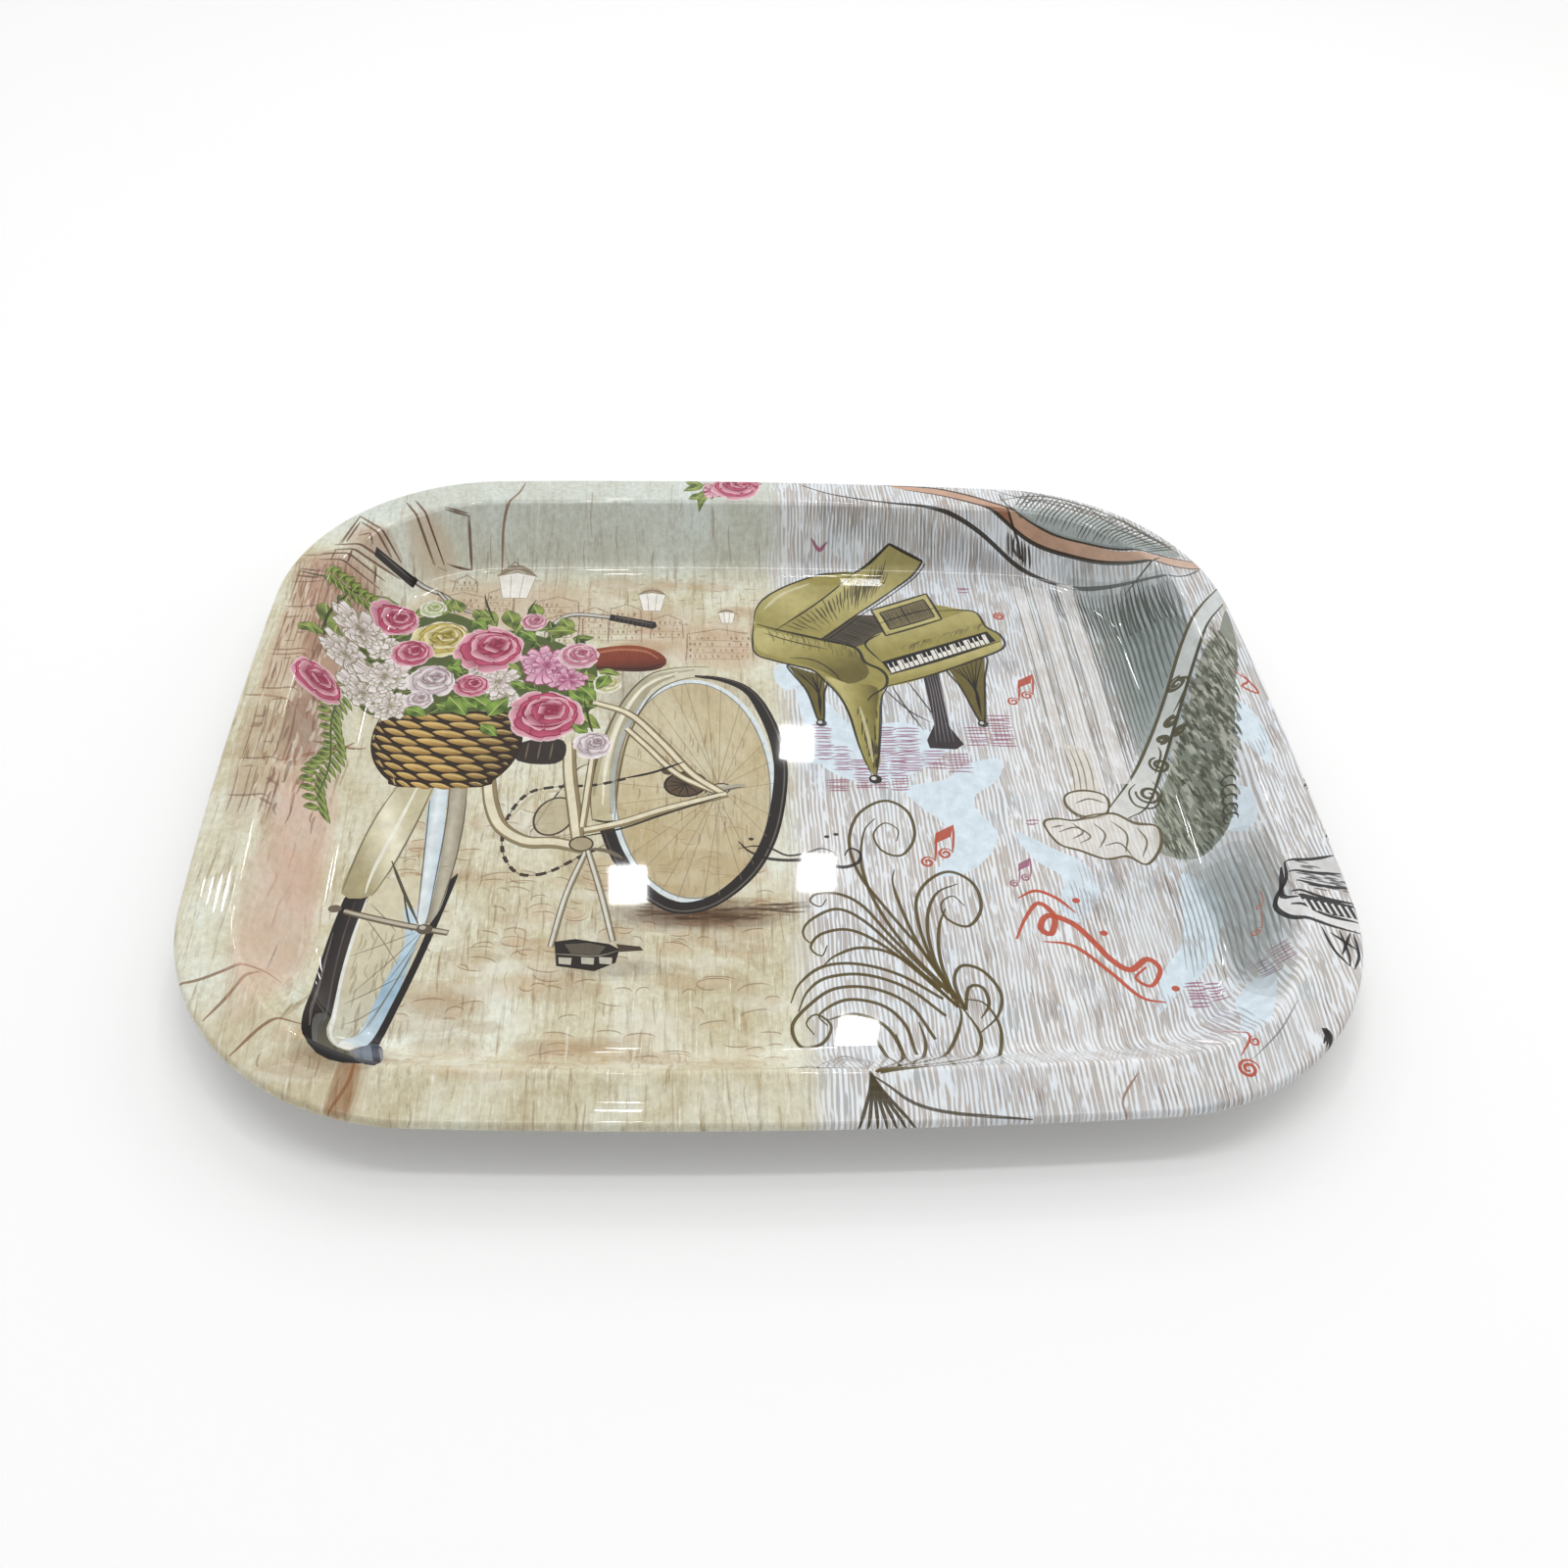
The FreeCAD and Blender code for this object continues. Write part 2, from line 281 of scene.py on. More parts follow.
def hatch(from_line, to_line, count, width, paint, jitter=0.3, reach=(0.0, 1.0)):
    """Pencil strokes from one line across to another."""
    for i in range(count):
        t = (i + 0.5) / count
        a, b = along(from_line, t), along(to_line, t)
        low = reach[0] + rng.uniform(0, jitter) * 0.5
        high = reach[1] - rng.uniform(0, jitter) * 0.5
        bend = rng.uniform(-0.25, 0.25)
        p = (a[0] + (b[0] - a[0]) * low, a[1] + (b[1] - a[1]) * low)
        q = (a[0] + (b[0] - a[0]) * high, a[1] + (b[1] - a[1]) * high)
        middle = ((p[0] + q[0]) / 2 + bend, (p[1] + q[1]) / 2 + bend)
        draw([p, middle, q], width * rng.uniform(0.7, 1.2), paint, step=2.5, taper=(0.3, 0.2))


def ellipse(centre, across, up, tilt=0.0, start=0.0, end=360.0, count=48):
    """Points round an ellipse, or round part of one, angles in degrees."""
    turn = math.radians(tilt)
    points = []
    whole = abs(end - start) >= 360
    for i in range(count if whole else count + 1):
        a = math.radians(start + (end - start) * i / count)
        x, y = across * math.cos(a), up * math.sin(a)
        points.append((centre[0] + x * math.cos(turn) - y * math.sin(turn),
                       centre[1] + x * math.sin(turn) + y * math.cos(turn)))
    return points


def spiral(centre, radius, turns, start):
    """Points of a spiral from outside in. Turns are counter-clockwise, and start is in degrees."""
    count = max(int(turns * 22), 8)
    points = []
    for i in range(count + 1):
        t = i / count
        a = math.radians(start) + 2 * math.pi * turns * t
        r = radius * (1 - (1 - SPIRAL_EYE) * t)
        points.append((centre[0] + r * math.cos(a), centre[1] + r * math.sin(a)))
    return points


# ---------------------------------------------------------------------------------------------------------
# Small things that repeat
# ---------------------------------------------------------------------------------------------------------
PEN = ink(30, 25, 22, 0.92)
SEPIA = ink(126, 92, 66, 0.6)
OLIVE = ink(88, 73, 22, 0.95)


def sketch(points, width, paint, closed=False):
    """Straight pen lines from point to point."""
    ends = points[1:] + points[:1] if closed else points[1:]
    for (ax, ay), (bx, by) in zip(points, ends):
        draw([(ax, ay), ((ax + bx) / 2 + 0.15, (ay + by) / 2 - 0.1), (bx, by)], width, paint, step=3,
             taper=(0.7, 0.7))


def smudge(points, colour, cover, rounds=4):
    """A soft-edged wash: the same shape laid over itself, smaller each time."""
    cx = sum(x for x, _ in points) / len(points)
    cy = sum(y for _, y in points) / len(points)
    for k in range(rounds):
        share = 1.12 - 0.16 * k
        shape = [(cx + (x - cx) * share + rng.uniform(-1, 1), cy + (y - cy) * share + rng.uniform(-1, 1))
                 for x, y in points]
        area(shape, ink(*colour, cover / rounds * 1.3), step=3)


def rotated(points, centre, degrees, scale=1.0):
    """Local points carried to a centre, turned and scaled."""
    c, s = math.cos(math.radians(degrees)) * scale, math.sin(math.radians(degrees)) * scale
    return [(centre[0] + x * c - y * s, centre[1] + x * s + y * c) for x, y in points]


def petal(centre, degrees, length, width, inner, outer, edge):
    """One rounded petal that starts at the centre, dark at its foot and pale at its lip."""
    shape = [(0, 0), (length * 0.45, -width * 0.42), (length * 0.85, -width * 0.5),
             (length * 1.02, -width * 0.2), (length * 0.97, width * 0.08), (length * 0.9, width * 0.48),
             (length * 0.45, width * 0.42)]
    tip = rotated([(length, 0)], centre, degrees)[0]
    outline_points = curve(rotated(shape, centre, degrees), max(length * 0.16, 0.7), closed=True)
    area(outline_points, ramp(centre, tip, inner, inner, outer), smooth=False)
    lip = curve(rotated(shape[1:], centre, degrees), max(length * 0.2, 0.8))
    stroke(lip, max(length * 0.05, 0.22), edge, taper=(0.2, 0.2))


def rose(centre, radius, deep, middle, pale, turn=0.0):
    """A cabbage rose: cupped petals in rings from the outside in, with shadow between them."""
    area(ellipse(centre, radius * 0.92, radius * 0.86, turn, count=18), deep, smooth=False)
    for ring, (reach, count, breadth, inner, outer) in enumerate((
            (1.05, 6, 1.02, deep, pale), (0.86, 6, 0.86, deep, middle), (0.7, 5, 0.78, deep, pale),
            (0.52, 5, 0.6, deep, middle), (0.36, 4, 0.46, deep, pale), (0.2, 3, 0.3, deep, middle))):
        heart = (centre[0] + radius * 0.05 * ring, centre[1] + radius * 0.07 * ring)
        for k in range(count):
            degrees = turn + 360 * k / count + 37 * ring + rng.uniform(-10, 10)
            length = radius * reach * rng.uniform(0.92, 1.08)
            petal(heart, degrees, length, radius * breadth * rng.uniform(0.9, 1.1), inner, outer,
                  ink(255, 236, 240, 0.5) if ring % 2 == 0 else deep)
    for k in range(5):
        start = turn + 72 * k + rng.uniform(-20, 20)
        arc = ellipse((centre[0], centre[1] + radius * 0.2), radius * (0.2 + 0.14 * k),
                      radius * (0.16 + 0.12 * k), 0, start, start + rng.uniform(70, 120), 8)
        stroke(arc, radius * 0.075, deep, taper=(0.1, 0.1))


PINKS = (ink(146, 40, 72), ink(204, 92, 124), ink(238, 176, 192))
SOFT_PINKS = (ink(158, 74, 102), ink(216, 144, 164), ink(246, 212, 220))
YELLOWS = (ink(140, 122, 44), ink(218, 202, 110), ink(248, 240, 184))
WHITES = (ink(150, 128, 132), ink(226, 212, 218), ink(252, 248, 248))


def ruffle(centre, radius, deep, middle, pale, count=20):
    """A loose many-petalled flower: narrow curled petals over a shaded heart."""
    area(ellipse(centre, radius * 0.9, radius * 0.85, count=16), deep, smooth=False)
    for ring in range(4):
        for k in range(count - 4 * ring):
            degrees = 360 * k / (count - 4 * ring) + rng.uniform(-14, 14)
            length = radius * (1.05 - 0.24 * ring) * rng.uniform(0.75, 1.1)
            petal(centre, degrees, length, length * 0.36, deep if ring % 2 else middle, pale, deep)


def leaf(base, tip, width, dark=(70, 88, 32), light=(158, 176, 88)):
    """A pointed leaf: two halves in different greens, with a vein."""
    dx, dy = tip[0] - base[0], tip[1] - base[1]
    length = math.hypot(dx, dy)
    degrees = math.degrees(math.atan2(dy, dx))
    side = [(0, 0), (length * 0.3, width * 0.5), (length * 0.65, width * 0.42), (length, 0)]
    for sign, near, far in ((1, dark, light), (-1, light, dark)):
        half = rotated([(x, y * sign) for x, y in side], base, degrees)
        line = curve(half, max(length / 7, 0.7))
        area(line, ramp(base, tip, ink(*near), ink(*far), ink(*near)), smooth=False)
        stroke(line, 0.22, ink(44, 58, 22, 0.7), taper=(0.5, 0.5))
    vein = curve(rotated([(0, 0), (length * 0.5, 0.1), (length * 0.96, 0)], base, degrees), 1.5)
    stroke(vein, max(width * 0.07, 0.2), ink(186, 200, 120, 0.85), taper=(1, 0.1))


def note(place, tilt, size, paint, double=True):
    """Music notes in loose pen: curled heads, stems and a beam."""
    heads = ((0.0, 0.0), (5.0, 3.0)) if double else ((0.0, 0.0),)
    tops = []
    for x, y in heads:
        head = rotated([(x, y)], place, tilt, size)[0]
        stroke(spiral(head, 2.0 * size, 1.6, 20), 0.75 * size, paint)
        foot = rotated([(x + 1.9, y + 0.3)], place, tilt, size)[0]
        top = rotated([(x + 3.4, y + 10.5)], place, tilt, size)[0]
        draw([foot, ((foot[0] + top[0]) / 2 + 0.2, (foot[1] + top[1]) / 2), top], 0.7 * size, paint)
        tops.append(top)
    if double:
        (ax, ay), (bx, by) = tops
        area([(ax, ay), (bx, by), (bx - 1.2 * size, by - 4.4 * size), (ax - 1.0 * size, ay - 4.0 * size)],
             paint, smooth=False)


def scribble(x0, x1, y0, y1, paint):
    """A patch of short level pencil strokes in columns."""
    columns = max(int((x1 - x0) / 6.0), 1)
    for column in range(columns):
        left = x0 + (x1 - x0) * column / columns
        right = x0 + (x1 - x0) * (column + 1) / columns
        y = y0 + rng.uniform(-0.8, 0.8)
        while y < y1:
            a = left + rng.uniform(-0.7, 0.7)
            b = right + rng.uniform(-0.7, 0.7)
            draw([(a, y), ((a + b) / 2, y + rng.uniform(-0.4, 0.4)), (b, y + rng.uniform(-0.4, 0.4))], 0.62,
                 paint, step=2.5)
            y += 1.25 * rng.uniform(0.8, 1.25)


# ---------------------------------------------------------------------------------------------------------
# The left half: an old street with a bicycle
# ---------------------------------------------------------------------------------------------------------
def draw_street():
    """Washes, cobbles and cracks of the paved ground."""
    for _ in range(90):
        x, y = rng.uniform(-132, 2), rng.uniform(-128, -14)
        across, up = rng.uniform(5, 15), rng.uniform(1.5, 4.5)
        colour = rng.choice(((186, 150, 108), (172, 140, 100), (240, 238, 226), (236, 232, 214),
                             (204, 172, 132)))
        smudge(ellipse((x, y), across, up, rng.uniform(-8, 8), count=8), colour, 0.26, rounds=3)
    for _ in range(34):
        x, y = rng.uniform(-60, -2), rng.uniform(60, 104)
        smudge(ellipse((x, y), rng.uniform(4, 11), rng.uniform(2, 5), count=8),
               rng.choice(((190, 156, 114), (238, 234, 218))), 0.28, rounds=3)
    for x, y, across, up, cover in ((-25, -60, 28, 6, 0.75), (-22, -62, 20, 4.5, 0.6),
                                    (-28, -58, 22, 5, 0.5), (-48, -80, 16, 4, 0.4),
                                    (-116, -121, 14, 6, 0.55), (-25, 40, 26, 10, 0.2),
                                    (-48, 40, 10, 24, 0.3)):
        smudge(ellipse((x, y), across, up, count=12), (96, 62, 34), cover, rounds=6)
    for _ in range(190):
        x, y = rng.uniform(-122, -2), rng.uniform(-126, -14)
        across, up = rng.uniform(2.2, 5.5), rng.uniform(1.2, 2.6)
        tilt = rng.uniform(-14, 14)
        if rng.random() < 0.5:
            area(ellipse((x, y), across, up, tilt, count=12), ink(212, 188, 154, 0.3), smooth=False)
        start = rng.choice((10, 20, 190))
        stroke(ellipse((x, y), across, up, tilt, start, start + rng.uniform(100, 170), 8), 0.45,
               ink(132, 92, 52, 0.55), taper=(0.1, 0.1))
    cracks = (((-166, -99), (-158, -98), (-151, -95), (-143, -91), (-138, -92)), ((-153, -111), (-148, -103),
              (-143, -92)), ((-112, -124), (-113, -131), (-117, -140)),
              ((-144, -122), (-136, -112), (-126, -108)), ((-168, 17), (-160, 16), (-152, 13)),
              ((-152, -12), (-146, -2), (-136, 14)), ((-88, 141), (-90, 133), (-95, 122), (-96, 108)),
              ((-146, 4), (-139, 10), (-132, 12)))
    for crack in cracks:
        draw(crack, 1.0, ink(134, 92, 54, 0.8))
    smudge([(-115, -124), (-110, -124), (-112, -140), (-118, -140)], (150, 100, 54), 0.7)
    for _ in range(260):
        x = rng.choice((rng.uniform(-168, 4), rng.uniform(-130, -2)))
        y = rng.uniform(-140, 138)
        draw([(x, y), (x + rng.uniform(-0.6, 0.6), y - 3),
              (x + rng.uniform(-0.8, 0.8), y - rng.uniform(4, 13))],
             rng.uniform(0.25, 0.7), ink(*rng.choice(((128, 88, 48), (150, 112, 70), (244, 240, 226))), 0.4),
             step=2.5)


def draw_buildings():
    """The faded fronts at the left edge and the roofs across the far side."""
    rust, sand = (176, 122, 98), (206, 176, 148)
    for shape, colour, cover in (
            ([(-162, 88), (-150, 93), (-138, 88), (-140, 62), (-146, 60), (-160, 62)], rust, 0.85),
            ([(-163, 62), (-154, 62), (-154, 20), (-164, 20)], sand, 0.8),
            ([(-154, 60), (-143, 60), (-144, 20), (-152, 18)], rust, 0.78),
            ([(-153, 20), (-144, 20), (-145, -4), (-153, -10)], (150, 96, 76), 0.7),
            ([(-166, 16), (-153, 12), (-153, -34), (-163, -36)], (186, 158, 122), 0.6),
            ([(-152, -10), (-142, -2), (-136, -24), (-138, -60), (-150, -50)], (222, 176, 156), 0.6),
            ([(-151, -50), (-137, -50), (-136, -90), (-144, -108), (-150, -88)], (224, 184, 164), 0.55),
            ([(-147, 110), (-136, 108), (-131, 98), (-146, 96)], (178, 136, 108), 0.6),
            ([(-131, 118), (-116, 118), (-112, 104), (-124, 100)], (212, 190, 160), 0.6),
            ([(-120, 96), (-92, 104), (-60, 96), (-58, 72), (-118, 76)], sand, 0.5),
            ([(-45, 88), (-28, 84), (-28, 60), (-46, 60)], sand, 0.4),
            ([(-27, 77), (-3, 77), (-3, 56), (-27, 56)], (208, 176, 144), 0.55)):
        smudge(shape, colour, cover)
    for _ in range(220):
        x, y = rng.uniform(-163, -141), rng.uniform(-30, 90)
        draw([(x, y), (x + rng.uniform(-0.4, 0.4), y - 3),
              (x + rng.uniform(-0.6, 0.6), y - rng.uniform(4, 10))],
             rng.uniform(0.3, 0.9), ink(*rng.choice(((118, 76, 56), (150, 104, 82), (236, 224, 206))), 0.55),
             step=2.5)
    for x in (-163, -159.5, -157.5, -153.5, -151.5):
        for top, foot in ((88, 64), (60, 40), (36, 20), (14, -12), (-16, -36)):
            draw([(x + rng.uniform(-0.3, 0.3), top), (x + 0.3, (top + foot) / 2), (x, foot)], 0.6,
                 ink(112, 74, 54, 0.5), step=4)
    for y in (92, 76, 62, 39, 36.5, 19.5, -13, -29):
        draw([(-164, y + 0.6), (-158, y), (-152, y + 0.8)], 0.8, ink(112, 74, 54, 0.6), step=3)
    for _ in range(16):
        x, y = rng.uniform(-162, -152), rng.uniform(-34, 90)
        draw([(x - 1.6, y), (x, y + rng.uniform(-0.6, 0.6)), (x + 1.6, y)], rng.uniform(0.6, 1.4),
             ink(134, 92, 70, 0.55), step=2)
    for line in (((-151, 99), (-147, 117), (-131, 101)), ((-149, 100), (-146, 113), (-134, 101)),
                 ((-153, 98), (-131, 99)), ((-153, 95), (-131, 96)), ((-145, 104), (-141, 105), (-140, 101)),
                 ((-157, 93), (-136, 92)), ((-157, 89), (-137, 88)), ((-131, 126), (-120, 106)),
                 ((-128, 127), (-117, 107)), ((-117, 122), (-108, 122), (-107, 108), (-115, 108)),
                 ((-152, 95), (-153, 89)), ((-146, 95), (-147, 89)), ((-139, 95), (-139, 89)),
                 ((-163, 84), (-154, 82)), ((-163, 80), (-154, 78))):
        for start, end in zip(line, line[1:]):
            for _ in range(2):
                draw([(x + rng.uniform(-0.4, 0.4), y + rng.uniform(-0.4, 0.4)) for x, y in (start, end)],
                     0.7, ink(106, 72, 48, 0.8), step=3)
    for x in np.arange(-152, -134, 2.2):
        draw([(x, 88), (x + 0.4, 74)], rng.uniform(0.5, 1.2), ink(126, 84, 58, 0.55), step=3)
    roofs = ((-118, 96, -100, 82), (-100, 99, -90, 84), (-82, 94, -66, 80), (-66, 88, -55, 68),
             (-55, 90, -43, 68), (-40, 84, -28, 70), (-27, 76, -3, 58), (-96, 112, -86, 104),
             (-113, 106, -104, 96), (-78, 84, -64, 66))
    for left, top, right, foot in roofs:
        sketch([(left, foot), (left + 0.4, top - 3), ((left + right) / 2, top), (right - 0.6, top - 3),
                (right, foot)], 0.5, SEPIA)
        y = foot + 1.5
        while y < top - 3.5:
            x = left + 1.4
            while x < right - 1:
                if rng.random() < 0.8:
                    draw([(x, y), (x + rng.uniform(-0.3, 0.3), y + 1.9)], rng.uniform(0.5, 1.1),
                         ink(124, 84, 54, rng.uniform(0.35, 0.75)), step=1.5)
                x += rng.uniform(1.7, 2.6)
            draw([(left, y - 0.7), ((left + right) / 2, y - 0.4), (right, y - 0.7)], 0.35,
                 ink(130, 92, 62, 0.5), step=4)
            y += 3.4
    for _ in range(120):
        x, y = rng.uniform(-120, -2), rng.uniform(60, 108)
        draw([(x, y), (x + rng.uniform(-0.5, 2.5), y + rng.uniform(-1, 1)), (x + rng.uniform(0, 4), y)],
             rng.uniform(0.3, 0.7), ink(134, 94, 60, 0.45), step=2.5)


def draw_lantern(centre, size):
    """A street lantern with white glass, on a thin post."""
    def at(*points):
        return [(centre[0] + x * size, centre[1] + y * size) for x, y in points]
    stroke(at((0, -8), (0, -16), (0.4, -24)), 1.0 * size, ink(150, 120, 92, 0.6))
    area(at((-7, 5.5), (-4.5, -8), (4.5, -8), (7, 5.5), (0, 7.5)), ink(250, 248, 240, 0.95), smooth=False)
    area(at((-7.5, 5), (-3, 7.2), (0, 8.2), (3, 7.2), (7.5, 5), (4, 9), (0, 10), (-4, 9)),
         ink(150, 134, 110, 0.95))
    for x, foot in ((-7, -4.5), (-2.4, -1.6), (2.4, 1.6), (7, 4.5)):
        stroke(at((x, 5.6), (foot, -8)), 0.55, ink(130, 104, 78, 0.85))
    stroke(at((-7.6, 5.2), (0, 7.4), (7.6, 5.2)), 0.6, ink(128, 104, 84, 0.85))
    stroke(at((-4.6, -8), (4.6, -8)), 0.7, ink(140, 112, 88, 0.8))
    stroke(at((0, 10), (0, 12)), 0.8 * size, ink(120, 96, 78, 0.9))


def draw_rear_wheel():
    """An ellipse seen from the left: cream mudguard, black tyre, pale rim, spokes and gears."""
    cream = ramp((-60, -10), (-30, 60), ink(202, 192, 156), ink(226, 222, 194), ink(218, 214, 190))
    area([(-19, 54), (-30, 54), (-41, 49), (-50, 33), (-56, 10), (-58, -8), (-57, -20), (-50, -20), (-49, 0),
          (-46, 20), (-39, 39), (-30, 47), (-19, 50)], cream, step=3)
    inside = ellipse((-25, -4), 26.5, 51, count=56)
    area(inside, ramp((-50, 30), (0, -40), ink(206, 188, 144, 0.55), ink(190, 168, 120, 0.6)), smooth=False)
    for _ in range(60):
        a, r = rng.uniform(0, 2 * math.pi), rng.uniform(0, 0.85)
        x, y = -25 + 24 * r * math.cos(a), -4 + 46 * r * math.sin(a)
        draw([(x, y), (x + 0.2, y - 2.5), (x - 0.2, y - 5)], rng.uniform(0.3, 0.7), ink(134, 98, 52, 0.4),
             step=2)
    for _ in range(110):
        x = rng.uniform(-44, 4)
        y = -58 - rng.uniform(0, 5) + abs(x + 22) * 0.14
        draw([(x, y), (x + 3, y - 0.3), (x + rng.uniform(5, 9), y + rng.uniform(-0.6, 0.6))],
             rng.uniform(0.4, 0.9), ink(74, 50, 30, 0.42), step=3)
    rim = ellipse((-25, -4), 26, 50.5, count=64)
    for offset, width, paint in ((0.0, 2.2, ink(226, 236, 238)), (0.9, 0.5, ink(120, 112, 96, 0.8))):
        ring = [(x + offset * (-25 - x) / 26, y + offset * (-4 - y) / 50) for x, y in rim]
        stroke(ring + ring[:1], width, paint, taper=(1, 1))
    tyre = curve([(-24, 49.5), (-14, 47.5), (-5, 41), (1.5, 24), (4, 5), (2, -15), (-2, -31), (-9, -44.5),
                  (-20, -55), (-31, -57), (-41, -49), (-48.5, -36), (-53, -22)], 1.6)
    count = len(tyre)
    outer, inner = [], []
    for i, (x, y) in enumerate(tyre):
        t = i / (count - 1)
        half = 0.6 + 1.75 * min(t * 6, 1.0)
        away = math.hypot(x + 25, (y + 4) * 0.55)
        nx, ny = (x + 25) / away, (y + 4) * 0.55 / away
        outer.append((x + nx * half, y + ny * half))
        inner.append((x - nx * half, y - ny * half))
    for start in range(0, count - 1, 8):
        end = min(start + 9, count)
        area(outer[start:end] + inner[start:end][::-1], ink(38, 33, 31), smooth=False)
    stroke([((x + px) / 2, (y + py) / 2) for (x, y), (px, py) in zip(outer, tyre)][4:-2], 0.5,
           ink(120, 114, 106, 0.7))
    draw([(-31, 49.5), (-40, 43), (-47.5, 24), (-50.5, 4), (-51, -18)], 3.2, ink(128, 114, 76, 0.55), step=4)
    draw([(-24, 53), (-40, 48), (-50, 31), (-55.5, 10), (-57, -10)], 2.2, ink(134, 120, 84, 0.5), step=4)
    for edge in (((-19, 54.5), (-30, 54), (-41, 49), (-50, 33), (-56, 10), (-58, -8), (-57, -21)),
                 ((-19, 50), (-30, 47), (-39, 39), (-46, 20), (-49, 0), (-50, -21))):
        draw(edge, 0.7, ink(96, 80, 50, 0.9), step=3)
    draw([(-57, -20.5), (-53, -21.5), (-49.5, -21)], 0.8, ink(50, 42, 34), step=2)
    draw([(-30, 51.5), (-42, 43), (-50, 24), (-53.5, 4), (-54, -14)], 1.3, ink(250, 248, 230, 0.75), step=4)
    hub = (-17, -7)
    for k in range(26):
        rim_point = rim[int(k * len(rim) / 26)]
        start = (hub[0] + rng.uniform(-1.5, 1.5), hub[1] + rng.uniform(-1.5, 1.5))
        draw([start, ((start[0] + rim_point[0]) / 2, (start[1] + rim_point[1]) / 2), rim_point], 0.32,
             ink(128, 116, 92, 0.5), step=8, taper=(1, 1))
    area(ellipse((-27.5, -4.5), 6.6, 5.4, 10, count=20), ink(92, 76, 56), smooth=False)
    for k in range(12):
        at = ellipse((-27.5, -4.5), 6.2, 5.0, 10, 30 * k, 30 * k + 1, 1)[0]
        draw([(-27.5, -4.5), ((at[0] - 27.5) / 2, (at[1] - 4.5) / 2), at], 0.5, ink(40, 32, 26, 0.85),
             step=2)
    stroke(ellipse((-27.5, -4.5), 6.8, 5.6, 10, count=20) + [(-20.9, -3.3)], 0.8, ink(44, 36, 30),
           taper=(1, 1))
    area(ellipse((-33, 2), 2.5, 2.2, count=12), ink(80, 68, 54), smooth=False)
    area(ellipse(hub, 4.2, 2.6, 20, count=16), ink(206, 200, 180), smooth=False)
    stroke(ellipse(hub, 4.2, 2.6, 20, count=16), 0.6, ink(88, 76, 60), taper=(1, 1))
    draw([(-21, -9), (-14, -6), (-8, -4.5)], 1.8, ink(182, 176, 156))
    draw([(-21, -10), (-14, -7), (-8, -5.5)], 0.5, ink(84, 72, 58))


def tube(points, width, light=(236, 228, 200), shade=(150, 134, 98)):
    """A painted tube: shaded body, light along its upper side, thin dark edge."""
    line = curve(points, 1.5)
    stroke(line, width + 0.7, ink(92, 78, 54, 0.85), taper=(0.9, 0.9))
    stroke(line, width, ink(*shade), taper=(0.9, 0.9))
    lit = [(x - width * 0.12, y + width * 0.12) for x, y in line]
    stroke(lit, width * 0.62, ink(*light), taper=(0.9, 0.9))


